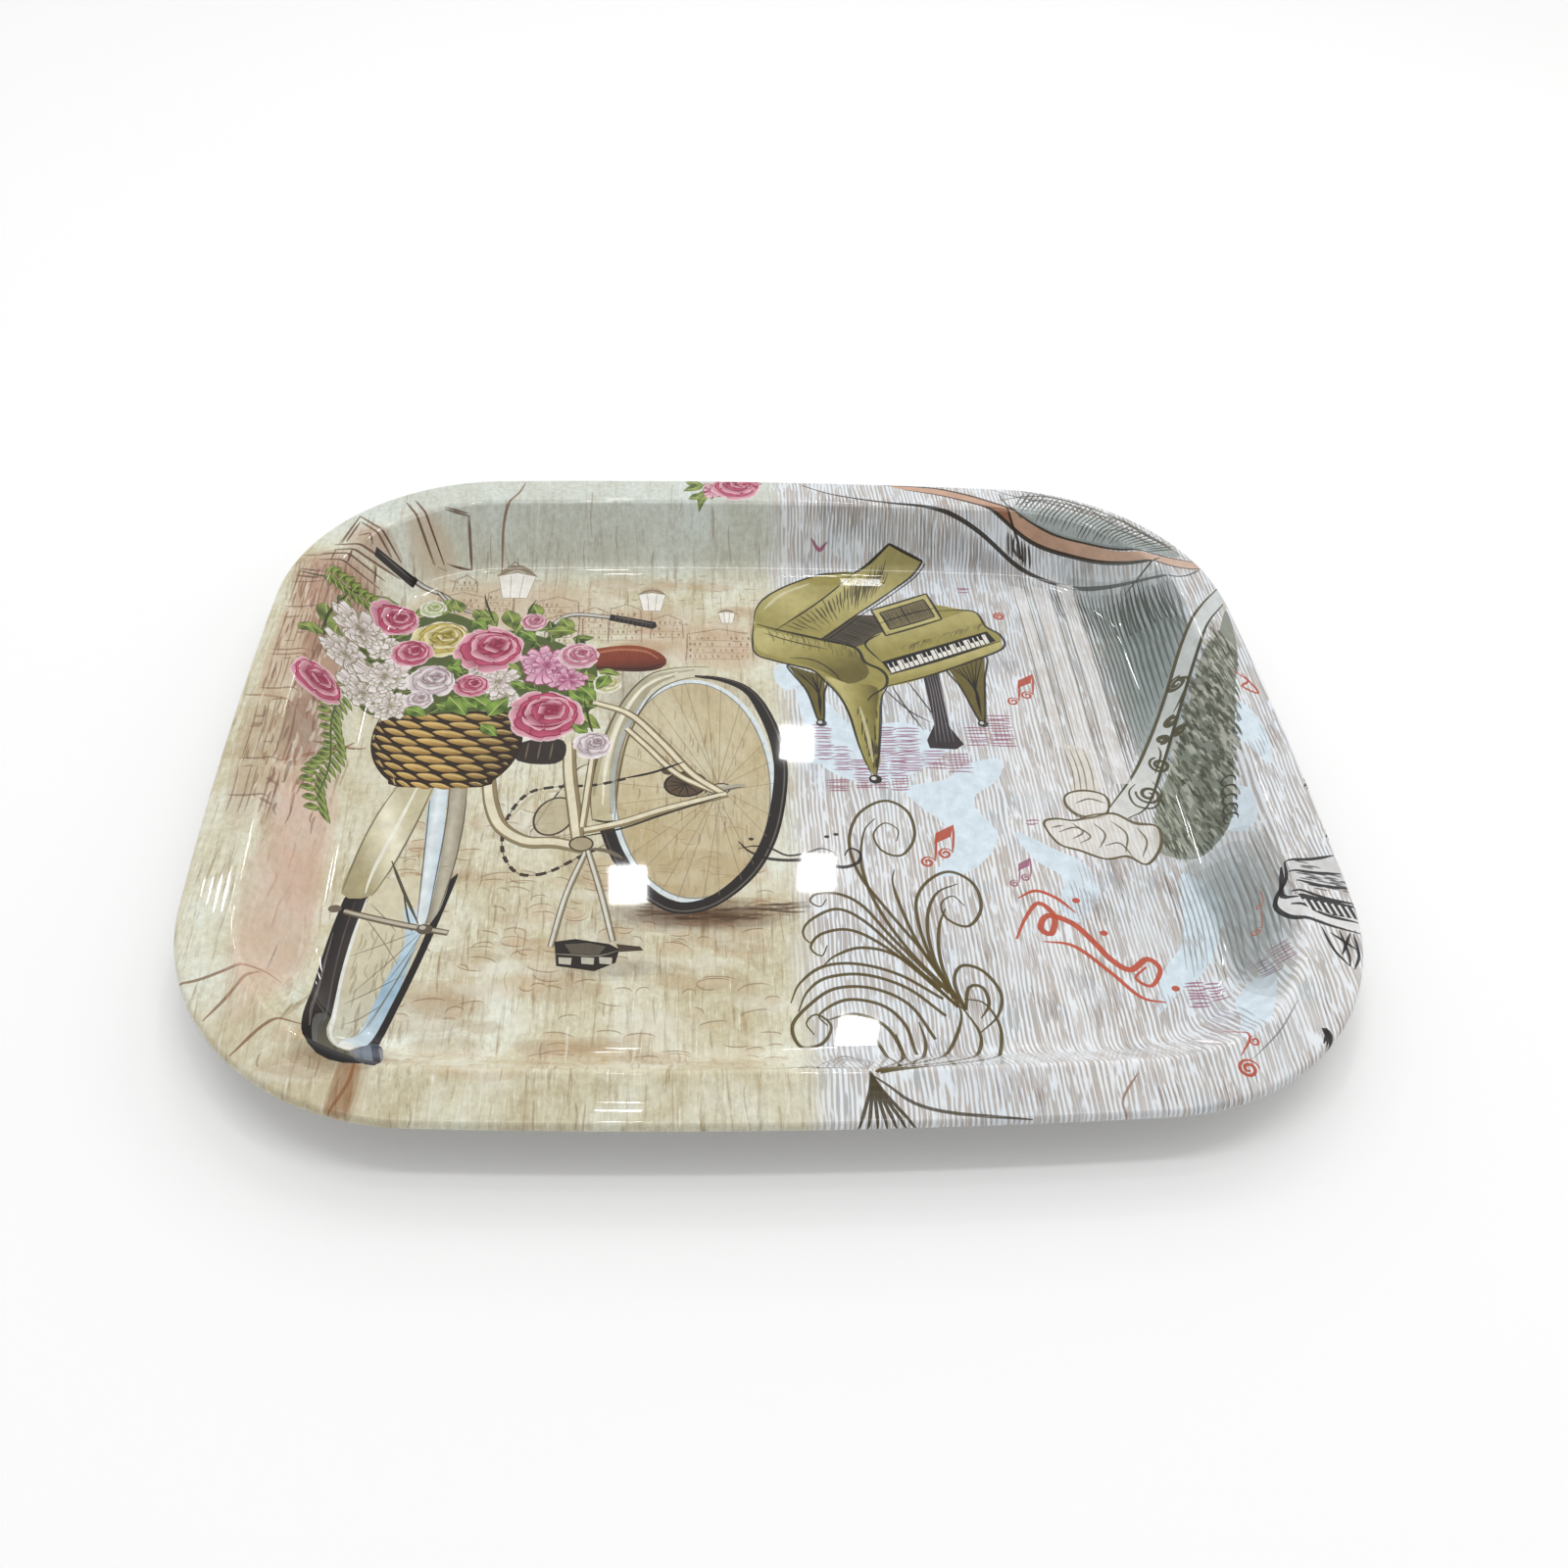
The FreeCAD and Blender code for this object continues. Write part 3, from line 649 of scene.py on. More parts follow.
def draw_frame():
    """Tubes, chain, stand and pedals."""
    chain = curve([(-47, -2), (-57, -5), (-70, -6), (-78, -9), (-83, -18), (-84.5, -28), (-83, -37),
                   (-78, -43.5), (-70, -43), (-61, -37), (-52, -31)], 0.9)
    links = ink(34, 28, 26)
    for start in range(0, len(chain) - 4, 5):
        stroke(chain[start:start + 4], 1.25, links, taper=(1, 1))
    stroke(chain, 0.4, ink(90, 74, 58, 0.8), taper=(1, 1))
    draw([(-76, -26), (-70, -12), (-63, 2), (-57, 6)], 0.7, ink(60, 48, 40, 0.85))
    draw([(-83, -20), (-76, -10), (-66, -7)], 1.4, ink(206, 196, 166))
    area(ellipse((-69, -19), 6, 8.5, -20, count=20), ink(190, 178, 146, 0.75), smooth=False)
    draw(ellipse((-69, -19), 6, 8.5, -20, count=20), 0.7, ink(74, 60, 46), closed=True)
    for foot, knee in (((-67, -72), (-63.5, -52)), ((-49, -70), (-53, -52))):
        tube([(-58, -33), knee, foot], 1.5, light=(226, 224, 212), shade=(150, 142, 120))
    tube([(-47, 22), (-40, 13), (-30, 0), (-18, -8)], 2.2)
    tube([(-58, 35), (-46, 29), (-35, 15), (-25, 0), (-15, -9)], 2.6)
    tube([(-62, -26), (-48, -22), (-34, -16), (-14, -9)], 2.6)
    draw([(-62, -28.5), (-48, -24.5), (-34, -18), (-16, -10)], 0.8, ink(48, 40, 34))
    draw([(-48, -2), (-38, 1), (-28, 6)], 1.0, ink(40, 34, 30))
    tube([(-66, 15), (-65, 0), (-63, -15), (-61, -30)], 4.0)
    tube([(-58, 8), (-59, -8), (-60, -24)], 2.0)
    tube([(-91, -2), (-89, -14), (-85, -24), (-77, -30), (-68, -30.5), (-59, -33)], 4.4)
    area(ellipse((-60, -31), 3.6, 3.0, count=16), ink(176, 164, 134), smooth=False)
    draw(ellipse((-60, -31), 3.6, 3.0, count=16), 0.6, ink(76, 64, 50), closed=True)
    draw([(-57, -33), (-52, -34), (-47, -37)], 1.6, ink(118, 106, 88))
    area([(-66, -70), (-60, -69), (-50, -71), (-47, -73), (-48, -78), (-54, -81), (-65, -79)],
         ink(40, 34, 30), smooth=False)
    area([(-63, -71), (-56, -70.5), (-51, -72), (-53, -75), (-61, -74.5)], ink(96, 88, 76), smooth=False)
    for x in (-62.5, -56, -50.8):
        area([(x - 2, -75.8), (x + 1.8, -76.1), (x + 1.7, -78.6), (x - 1.8, -78.2)], ink(196, 192, 176),
             smooth=False)
    draw([(-66, -74.5), (-60, -75), (-53, -75.4), (-47.5, -73.5)], 0.5, ink(150, 142, 124, 0.8), step=3)
    area([(-48, -71), (-41, -72), (-40, -73.5), (-47, -74)], ink(74, 62, 48), smooth=False)
    area([(-84, 8), (-79, 5), (-70, 5), (-67, 9), (-68, 16), (-76, 17), (-83, 14)], ink(52, 42, 36), step=2)
    for x in (-80, -76, -72):
        draw([(x, 7), (x + 0.6, 15)], 0.6, ink(112, 98, 82))


def draw_front_wheel():
    """The front wheel turned towards the viewer, in its fork under a cream mudguard."""
    area([(-127, -62), (-124, -48), (-104, -46), (-103, -70), (-108, -95), (-114, -112), (-119, -118),
          (-123, -112), (-126, -95)], ramp((-126, -60), (-108, -110), ink(222, 214, 186), ink(212, 206, 180),
                                           ink(204, 208, 196)),
         step=4)
    for _ in range(46):
        x, y = rng.uniform(-123, -109), rng.uniform(-108, -62)
        draw([(x, y), (x + rng.uniform(-0.8, 0.8), y - 2.5),
              (x + rng.uniform(-1, 1), y - rng.uniform(4, 8))],
             rng.uniform(0.35, 0.8), ink(140, 120, 78, 0.4), step=2.5)
    area([(-111, -56), (-105, -62), (-107, -80), (-110, -96), (-113, -108), (-117, -117), (-119, -112),
          (-116, -98), (-113, -85), (-109, -70)], ramp((-106, -60), (-117, -117), ink(206, 228, 240),
                                                     ink(160, 190, 210), ink(226, 238, 244)), step=4)
    for a, b in (((-122, -60), (-110, -78)), ((-124, -75), (-106, -66)), ((-104, -65), (-121, -88)),
                 ((-104, -65), (-115, -100)), ((-123, -92), (-108, -82)), ((-118, -106), (-104, -68)),
                 ((-122, -100), (-112, -92)), ((-121, -55), (-112, -66)), ((-104, -65), (-112, -84))):
        draw([a, ((a[0] + b[0]) / 2 + 0.4, (a[1] + b[1]) / 2), b], 0.35, ink(108, 100, 84, 0.75), step=4)
    left = [(-128, -51), (-130, -60), (-131.5, -73), (-132, -85), (-131.5, -95), (-130, -105), (-127, -115),
            (-122, -122), (-115, -125), (-107, -124.5), (-108, -118), (-112, -115), (-115, -118.5),
            (-118, -117.5), (-121, -114), (-124, -106), (-125.5, -92), (-125, -80), (-123.5, -62),
            (-122, -51)]
    area(left, ramp((-132, -80), (-122, -82), ink(34, 29, 28), ink(58, 50, 47), ink(30, 26, 26)), step=3)
    draw([(-130, -66), (-130.6, -80), (-130.2, -95), (-127.5, -108)], 0.7, ink(116, 108, 106, 0.8), step=3)
    draw([(-125.5, -54), (-127, -70), (-127.2, -88), (-125.6, -104)], 0.5, ink(96, 88, 86, 0.7), step=3)
    draw([(-122.2, -53), (-124, -68), (-125, -85), (-124.2, -100), (-121.5, -111), (-118, -116.5)], 1.0,
         ink(238, 240, 236), step=3)
    right = [(-96.5, -43), (-98, -52), (-100.5, -64), (-103, -75), (-106, -87), (-109, -98), (-111, -108),
             (-108, -122), (-112, -116), (-113.5, -107), (-111, -97), (-108, -86), (-105, -74),
             (-102.5, -62), (-100.5, -50)]
    area(right, ink(36, 31, 30), step=3)
    area([(-113, -108), (-110, -108), (-106, -122), (-107, -126), (-112, -124), (-115, -118)],
         ramp((-112, -108), (-108, -125), ink(70, 76, 92), ink(112, 116, 128), ink(60, 58, 64)), step=2)
    area(ellipse((-117, -114), 1.8, 3.6, 12, count=14), ink(244, 246, 246), smooth=False)
    blade = [(-104, -4), (-103, -20), (-102.5, -40), (-104, -62), (-107, -64), (-107, -45), (-108.5, -25),
             (-109, -5)]
    area([(-98, -4), (-97, -20), (-98, -40), (-100.5, -58), (-104, -63), (-103.5, -45), (-102.5, -22),
          (-103, -4)],
         ramp((-97, -30), (-104, -30), ink(150, 140, 116), ink(202, 196, 176), ink(130, 122, 104)), step=3)
    area(blade, ramp((-103, -30), (-109, -30), ink(206, 224, 234), ink(236, 244, 246), ink(184, 204, 214)),
         step=3)
    for line in ([(-97.5, -5), (-97, -20), (-98, -40), (-101, -60)],
                 [(-103, -4), (-102.5, -25), (-103.5, -60)],
                 [(-109, -5), (-108, -26), (-107, -50), (-106.5, -63)]):
        draw(line, 0.45, ink(84, 78, 66, 0.85), step=4)
    fender = [(-119, -4), (-124, -18), (-127.5, -33), (-130, -51), (-121, -52), (-117, -42), (-112, -24),
              (-108, -5)]
    area(fender, ramp((-129, -30), (-113, -24), ink(176, 166, 128), ink(222, 216, 184), ink(244, 240, 216),
                      ink(206, 198, 164)), step=3)
    draw([(-113, -5), (-117, -22), (-122, -42), (-123, -51)], 1.2, ink(250, 250, 236, 0.8), step=4)
    draw(fender[:3:-1], 0.6, ink(110, 98, 72, 0.9), step=4)
    draw(fender[:4], 0.6, ink(124, 112, 84, 0.9), step=4)
    draw([(-117, -38), (-112, -50), (-106, -63)], 1.0, ink(86, 78, 64), step=3)
    draw([(-112, -50), (-109.5, -60), (-107.5, -66)], 0.6, ink(86, 78, 64), step=3)
    tube([(-128, -58), (-122, -60), (-110, -63.5), (-97, -66.5)], 1.8, light=(196, 188, 168),
         shade=(110, 98, 80))
    area(ellipse((-104, -65), 2.4, 2.0, count=14), ink(98, 88, 72), smooth=False)
    area(ellipse((-104.6, -64.4), 1.0, 0.8, count=10), ink(196, 190, 174), smooth=False)
    area(ellipse((-131, -57), 2.0, 1.5, count=12), ink(112, 102, 84), smooth=False)


def draw_handlebars():
    """Bars with black grips, and the leather saddle."""
    chrome = {"light": (214, 212, 206), "shade": (112, 106, 96)}
    tube([(-127, 98.5), (-119, 96), (-113, 91), (-110, 84)], 1.8, **chrome)
    tube([(-118, 96), (-112, 88), (-104, 84)], 1.2, **chrome)
    tube([(-77, 72), (-73, 80), (-67, 83.5), (-54, 82)], 1.8, **chrome)
    for grip in ([(-139, 101), (-139.5, 97.8), (-127, 95.6), (-125.5, 99)],
                 [(-54.5, 84), (-55, 80.4), (-39, 75.6), (-37.5, 77), (-38, 79.6)]):
        area(grip, ink(34, 28, 27), smooth=False)
    draw([(-138, 100), (-132, 98.9), (-127, 98)], 0.6, ink(112, 104, 100, 0.8))
    draw([(-53, 82.6), (-46, 80.6), (-39, 78.4)], 0.6, ink(120, 110, 106, 0.8))
    for k in range(9):
        x = -52.5 + 1.6 * k
        draw([(x, 83.2 - 0.3 * (x + 53)), (x - 0.3, 80.2 - 0.3 * (x + 53))], 0.3, ink(92, 84, 82, 0.8),
             step=2)
    saddle = [(-66, 56), (-63, 62), (-56, 65), (-46, 66.2), (-38, 63.5), (-34, 58.5), (-35.5, 54),
              (-42, 51.8), (-52, 52), (-60, 52.6)]
    area(saddle, ramp((-50, 66), (-48, 51), ink(150, 74, 46), ink(132, 58, 36), ink(64, 28, 20)), step=2)
    draw([(-62, 60.5), (-52, 63.6), (-42, 63), (-37, 59)], 1.2, ink(196, 128, 92, 0.7), step=2)
    draw([(-63, 54.5), (-52, 53.6), (-42, 53.4), (-36, 56)], 0.8, ink(36, 18, 14, 0.8), step=2)
    for k in range(16):
        x = -60 + 1.6 * k
        draw([(x, 63 - abs(k - 8) * 0.15), (x + 0.3, 60)], 0.25, ink(88, 36, 24, 0.6), step=2)


def draw_basket():
    """A wicker bowl: rows of long strands that dip towards the right, with dark gaps between them."""
    def half(y):
        return 24.5 * math.sqrt(max(1 - ((y - 17) / (27 if y < 17 else 30)) ** 2, 0.02))
    bowl = [(-106.5 - half(y), y) for y in range(30, -7, -3)]
    bowl += [(-106 + half(y), y) for y in range(-6, 31, 3)]
    area(bowl, ink(44, 26, 10), step=3)
    steps = 7
    for row in range(9):
        y = 27.5 - 4.1 * row
        reach = half(y + 1.5) + 0.3
        for k in range(-1, steps + 1):
            u0 = -1.45 + 2.9 * (k + 0.5 * (row % 2)) / steps
            u1 = min(u0 + 2.9 / steps * 1.12, 1.42)
            u0 = max(u0, -1.42)
            xa, xb = -106.5 + reach * math.sin(u0), -106.5 + reach * math.sin(u1)
            if xb - xa < 1.4:
                continue
            lift = [-3.2 * math.cos(u) + 2.6 for u in (u0, u1)]
            ya, yb = y + 1.3 + lift[0], y - 0.9 + lift[1]
            light = 0.6 + 0.46 * math.cos((u0 + u1) / 2 + 0.3)
            swell = min((xb - xa) * 0.16, 1.5)
            strand = [(xa, ya), ((xa * 2 + xb) / 3, (ya * 2 + yb) / 3 + swell),
                      ((xa + 2 * xb) / 3, (ya + 2 * yb) / 3 + swell), (xb, yb),
                      ((xa + 2 * xb) / 3, (ya + 2 * yb) / 3 - swell),
                      ((xa * 2 + xb) / 3, (ya * 2 + yb) / 3 - swell)]
            area(strand, ramp((0, max(ya, yb) + 1), (0, min(ya, yb) - 1.4),
                              ink(216 * light, 186 * light, 118 * light),
                              ink(182 * light, 146 * light, 78 * light),
                              ink(96 * light, 64 * light, 26 * light)),
                 step=1.6)
            draw([(xa + 0.8, ya + 0.2), ((xa + xb) / 2, (ya + yb) / 2 + 0.7), (xb - 0.8, yb + 0.3)], 0.4,
                 ink(240, 220, 160, 0.55), step=2)
    draw([(-128, 26), (-118, 29.5), (-106, 30.5), (-94, 29.5), (-85, 26)], 1.3, ink(40, 24, 12), step=2)


def draw_flowers():
    """The bunch in the basket, from the back to the front."""
    area([(-136, 30), (-142, 48), (-138, 66), (-130, 76), (-114, 84), (-98, 76), (-82, 72), (-70, 66),
          (-60, 58), (-58, 44), (-62, 26), (-74, 20), (-88, 30), (-104, 30), (-122, 28)], ink(84, 98, 48),
         step=3)
    for _ in range(110):
        x, y = rng.uniform(-136, -62), rng.uniform(32, 76)
        turn = rng.uniform(0, 2 * math.pi)
        reach = rng.uniform(4, 8)
        tint = rng.uniform(0.7, 1.1)
        leaf((x, y), (x + reach * math.cos(turn), y + reach * math.sin(turn)), reach * 0.5,
             dark=(56 * tint, 78 * tint, 28 * tint), light=(128 * tint, 150 * tint, 74 * tint))
    backs = ((-113, 92, -118, 80), (-121, 90, -112, 84), (-104, 86, -98, 78), (-101, 86, -95, 76),
             (-92, 86, -88, 74), (-86, 82, -88, 72), (-72, 82, -68, 72), (-77, 74, -66, 74),
             (-62, 52, -60, 40), (-66, 44, -60, 34), (-66, 30, -56, 22), (-58, 52, -50, 50),
             (-137, 84, -131, 87), (-146, 76, -147, 68), (-147, 72, -141, 70), (-151, 66, -149, 55),
             (-147, 60, -148, 48), (-156, 50, -149, 53), (-158, 53, -151, 49),
             (-125, 82, -118, 88), (-108, 84, -112, 92), (-83, 90, -80, 80), (-68, 34, -62, 26),
             (-104, 76, -96, 82), (-90, 44, -84, 52), (-92, 56, -84, 50), (-126, 54, -118, 58),
             (-134, 60, -128, 66), (-125, 44, -118, 50))
    for ax, ay, bx, by in backs:
        leaf((ax, ay), (bx, by), math.hypot(bx - ax, by - ay) * 0.52)
    for twig in ([(-163, 83), (-153, 79), (-145, 80), (-137, 83)], [(-96, 78), (-100, 90), (-101, 95)],
                 [(-86, 74), (-84, 86), (-82, 92)], [(-66, 48), (-60, 46), (-55, 46)],
                 [(-146, 78), (-150, 60), (-148, 44)], [(-62, 36), (-60, 26), (-58, 18)]):
        draw(twig, 0.8, ink(60, 66, 30), step=2.5)
    for x in np.arange(-153, -136, 2.0):
        for lean in (-1, 1):
            leaf((x, 80 + 0.015 * (x + 145) ** 2), (x + 2.2, 80.5 + lean * rng.uniform(3.5, 5.5)), 2.4)
    for y in np.arange(38, -20, -3.2):
        sway = -142 + 1.6 * math.sin(y * 0.2)
        leaf((sway, y), (sway - 3.6, y - 4.0), 2.2)
        leaf((sway, y), (sway + 3.4, y - 4.2), 2.2)
    draw([(-141, 40), (-143, 20), (-141, 0), (-142, -18)], 0.5, ink(82, 98, 44), step=4)
    for centre, radius in (((-133, 63), 6.5), ((-143, 50), 7.5), ((-141, 66), 8.5), ((-127, 33), 7),
                           ((-137, 38), 7), ((-131, 48), 9), ((-98, 52), 5.5), ((-89, 38), 5),
                           ((-92, 46), 8)):
        ruffle(centre, radius, ink(150, 142, 116), ink(216, 200, 198), ink(250, 245, 243))
    ruffle((-76, 55), 9.5, ink(164, 84, 122), ink(214, 146, 178), ink(240, 200, 216))
    ruffle((-68, 47), 6.5, ink(164, 84, 122), ink(210, 140, 172), ink(238, 196, 212), 12)
    rose((-131, 78.5), 7.5, *PINKS, turn=20)
    rose((-114, 68.5), 9.5, *YELLOWS, turn=50)
    rose((-149, 30), 7, *PINKS, turn=80)
    rose((-123.5, 60.5), 7, *PINKS, turn=140)
    rose((-65, 60), 6.5, *SOFT_PINKS, turn=10)
    rose((-82, 79), 4.6, *SOFT_PINKS, turn=200)
    rose((-115, 46), 8, *WHITES, turn=75)
    rose((-101, 43.5), 5.6, *PINKS, turn=250)
    rose((-96.5, 63), 11.5, *PINKS, turn=100)
    rose((-75, 28), 12, *PINKS, turn=300)
    rose((-118, 36), 4.6, *WHITES, turn=15)
    rose((-58, 14), 6, *WHITES, turn=120)
    rose((-54.5, 45), 4.6, ink(170, 160, 80), ink(222, 226, 176), ink(250, 252, 240), turn=60)
    rose((-119, 86), 4.6, ink(150, 160, 80), ink(214, 226, 182), ink(246, 250, 240), turn=60)
    for ax, ay, bx, by in ((-112, 34, -103, 31), (-108, 38, -101, 28), (-100, 38, -92, 30),
                           (-94, 28, -88, 38), (-96, 24, -90, 18), (-122, 32, -114, 28), (-64, 44, -58, 36),
                           (-62, 36, -68, 42), (-60, 20, -66, 24), (-88, 46, -82, 42), (-106, 58, -110, 52),
                           (-86, 74, -80, 68), (-104, 80, -98, 74), (-54, 50, -58, 42), (-110, 54, -104, 50),
                           (-98, 32, -104, 38)):
        leaf((ax, ay), (bx, by), math.hypot(bx - ax, by - ay) * 0.55, dark=(62, 90, 30),
             light=(146, 178, 80))


def draw_far_rim():
    """The rose that hangs over the far rim."""
    for ax, ay, bx, by in ((-20, 141, -28, 136), (-19, 138, -22, 126), (-18, 140, -17, 130),
                           (-27, 143, -20, 141), (-20, 134, -26, 130)):
        leaf((ax, ay), (bx, by), 4.2)
    ruffle((-15, 137), 6, *SOFT_PINKS, count=12)
    rose((-8, 140), 9, *PINKS, turn=30)
    ruffle((-3, 143), 5, *PINKS, count=12)


# ---------------------------------------------------------------------------------------------------------
# The right half: instruments on a pencilled sheet
# ---------------------------------------------------------------------------------------------------------
def draw_sky_patches():
    """Plain pale blue shapes left free of pencil, and the violet scribble under the piano."""
    sky = ink(226, 241, 251, 0.95)
    for patch in (((12, 44), (22, 36), (30, 24), (46, 26), (55, 22), (62, 14), (50, 2), (34, -4), (20, 2),
                   (14, 16)),
                  ((5, 56), (11, 55), (13, 46), (8, 42), (4, 48)),
                  ((44, -6), (58, -2), (66, 5), (78, 8), (76, -2), (66, -12), (72, -28), (62, -42),
                   (50, -44), (58, -28), (48, -14)),
                  ((78, -26), (90, -34), (98, -40), (100, -52), (92, -64), (86, -58), (90, -46), (82, -38)),
                  ((128, -44), (137, -56), (134, -68), (126, -82), (114, -92), (108, -98), (112, -84),
                   (122, -70)),
                  ((130, -96), (140, -90), (137, -102), (129, -116), (121, -120), (126, -108)),
                  ((144, -16), (151, -22), (150, -36), (144, -34)),
                  ((13, 22), (18, 20), (19, 8), (13, 6)),
                  ((150, 12), (158, 16), (163, 4), (160, -14), (154, -4))):
        area(patch, sky, step=3)
    violet = ink(158, 92, 122, 0.85)
    for x0, x1, y0, y1 in ((16, 22, 8, 25), (22, 28, 3, 14), (28, 34, -6, 8), (34, 46, -6, 12),
                           (44, 52, 2, 23), (19, 26, -7, -2), (52, 60, 4, 12), (60, 68, 2, 10),
                           (68, 76, 14, 24), (76, 85, 14, 30), (38, 44, 12, 24), (118, 124, -96, -86),
                           (124, 129, -94, -87), (137, 141, -93, -84), (141, 146, -90, -82),
                           (76, 81, 99, 103), (82, 86, -23, -20)):
        scribble(x0, x1, y0, y1, violet)


def draw_pencil_bundles():
    """Longer pencil strokes among the fine ones, in bands down the sheet."""
    for _ in range(260):
        x, y = rng.uniform(20, 165), rng.uniform(-138, 138)
        if 128 < x < 150 and -40 < y < 70 or y < 44 and x < 90 and y > -50 and x > 12:
            continue
        tone = ink(*rng.choice(((128, 104, 90), (160, 134, 118), (120, 116, 122), (168, 142, 130))), 0.5)
        for k in range(rng.randint(3, 6)):
            sx, sy = x + 1.3 * k + rng.uniform(-0.2, 0.2), y + rng.uniform(-2.5, 2.5)
            length = rng.uniform(5, 12)
            draw([(sx, sy), (sx + 0.3, sy - length / 2), (sx + 0.2, sy - length)], rng.uniform(0.35, 0.6),
                 tone, step=4)


def draw_scroll_work():
    """A fountain of curled olive lines, and a black and a red flourish beside it."""
    lines = (
        ((52, -96), (44, -78), (34, -60), (26, -44), (24, -30), (28, -18), (37, -12), (44, -17), (45, -28),
         (40, -36), (34, -34), (32, -27), (36, -22), (40, -25), (39, -30)),
        ((50, -92), (38, -74), (30, -56), (27, -40), (29, -26), (33, -20)),
        ((50, -92), (42, -74), (38, -60), (36, -48), (37, -42)),
        ((50, -94), (44, -76), (42, -58), (46, -48), (54, -43), (61, -48), (62, -58), (57, -65), (51, -62),
         (50, -56), (54, -53), (57, -57)),
        ((49, -92), (45, -76), (45, -62), (49, -52), (56, -48)),
        ((49, -90), (47, -78), (48, -66), (51, -58)),
        ((50, -95), (38, -80), (28, -70), (20, -66), (12, -68), (9, -73), (12, -76), (14, -72)),
        ((50, -95), (36, -76), (26, -63), (18, -58), (10, -62), (7, -67), (9, -71), (12, -68)),
        ((48, -90), (34, -70), (26, -57), (19, -52), (12, -52), (10, -55), (13, -57), (15, -54)),
        ((46, -88), (34, -76), (24, -73), (16, -76), (12, -80)),
        ((46, -92), (34, -83), (22, -79), (12, -80), (5, -86), (2, -93)),
        ((46, -98), (36, -88), (24, -83), (13, -84), (7, -89), (4, -96)),
        ((42, -106), (36, -94), (26, -88), (15, -88), (7, -94), (2, -101), (4, -108), (10, -107), (13, -101),
         (9, -97), (6, -100), (8, -104)),
        ((36, -112), (34, -101), (28, -94), (18, -92), (10, -97), (12, -101)),
        ((32, -122), (32, -110), (28, -101), (20, -97), (12, -99)),
        ((28, -127), (28, -116), (25, -106), (18, -103)),
        ((22, -130), (34, -122), (44, -112), (50, -100), (50, -92)),
        ((22, -130), (38, -124), (50, -116), (55, -106), (52, -97), (50, -94)),
        ((22, -130), (40, -126), (56, -117), (61, -104), (58, -94), (52, -92)),
        ((52, -96), (50, -86), (53, -80), (59, -82), (63, -90), (61, -98), (55, -104)),
        ((52, -96), (54, -88), (58, -88), (59, -94), (56, -99)),
        ((21, -130), (30, -124), (36, -116), (39, -108), (38, -100)),
        ((21, -130), (28, -122), (32, -112), (31, -104)))
    for line in lines:
        draw(line, 1.1, OLIVE, step=1.1, taper=(0.9, 0.35))
    for a in range(7):
        foot = 15 + 2.6 * a
        draw([(19.5, -129.5), (19 + 0.5 * a, -135), (foot, -147)], 1.0, ink(72, 62, 36, 0.95), step=2)
    draw([(19, -130), (24, -134), (30, -139), (40, -142), (60, -144)], 1.0, ink(72, 62, 36, 0.9), step=2)
    for a in range(8):
        draw([(19.5, -128.5), (14 - 1.6 * a, -127.6 + 0.25 * a), (4 - 2.2 * a, -127.5)], 0.45,
             ink(110, 96, 64, 0.6), step=4)
    for k in range(4):
        reach = 3 + 2.4 * k
        draw([(16 - reach, -127.5), (15 - reach * 0.6, -122 + 0.6 * k), (15.5, -117 + 1.6 * k),
              (17 + reach * 0.5, -119), (19, -128)], 0.7, ink(92, 88, 70, 0.75), step=1.6)
    black = ink(44, 34, 28, 0.95)
    draw([(-11, -30), (-8, -34), (-3, -37), (3, -38), (9, -38), (15, -39), (21, -41), (26, -39), (27, -35),
          (24, -33), (22, -36)], 1.3, black)
    draw([(-11, -33), (-6, -32), (-1, -33), (4, -36), (10, -35), (15, -33), (19, -35)], 0.8, black)
    for x, y in ((-7, -29), (17, -28), (20, -27)):
        area(ellipse((x, y), 0.9, 0.7, count=8), black, smooth=False)
    red = ink(196, 82, 52, 0.95)
    draw([(71, -70), (75, -62), (80, -56), (84, -61), (82, -68), (79, -66), (82, -61), (89, -64), (94, -71),
          (98, -78), (103, -82), (109, -78), (112, -82), (108, -88), (104, -85), (108, -81)], 2.0, red)
    draw([(79, -71), (88, -73), (97, -83), (104, -92), (111, -94)], 1.3, red)
    draw([(74, -54), (80, -51), (86, -54), (91, -60)], 1.2, red)
    for x, y in ((115, -89), (98, -68), (92, -55)):
        area(ellipse((x, y), 1.3, 1.1, count=10), red, smooth=False)


def draw_notes():
    """Notes and curls in red and violet pen, scattered over the sheet."""
    red = ink(190, 84, 58, 0.95)
    violet = ink(160, 92, 122, 0.9)
    note((48, -39), 0, 1.2, red)
    note((87.5, 37), 0, 1.1, red)
    note((74, -48), 0, 0.8, violet)
    note((141.5, -74), 0, 0.7, ink(176, 116, 96, 0.9), double=False)
    note((144, -66), 5, 0.5, ink(176, 116, 96, 0.9), double=False)
    stroke(spiral((90, 85), 2.4, 1.8, 10), 1.0, red)
    draw([(21, 120), (24, 117), (27, 119)], 1.2, violet)
    stroke(spiral((120, -130), 3.0, 1.9, 0), 1.0, red)
    draw([(119, -126), (123, -120), (121, -115), (119, -112)], 0.7, red)
    stroke(spiral((124, -121.5), 1.6, 1.5, 90), 0.6, red)
    draw([(160, 32), (164, 27), (161, 24), (166, 21), (163, 31)], 1.0, red)
    for k in range(5):
        stroke(ellipse((147.5 - 0.6 * k, -15 - 3.6 * k), 1.6, 2.2, 20, -60, 220, 9), 0.6, ink(70, 68, 56))


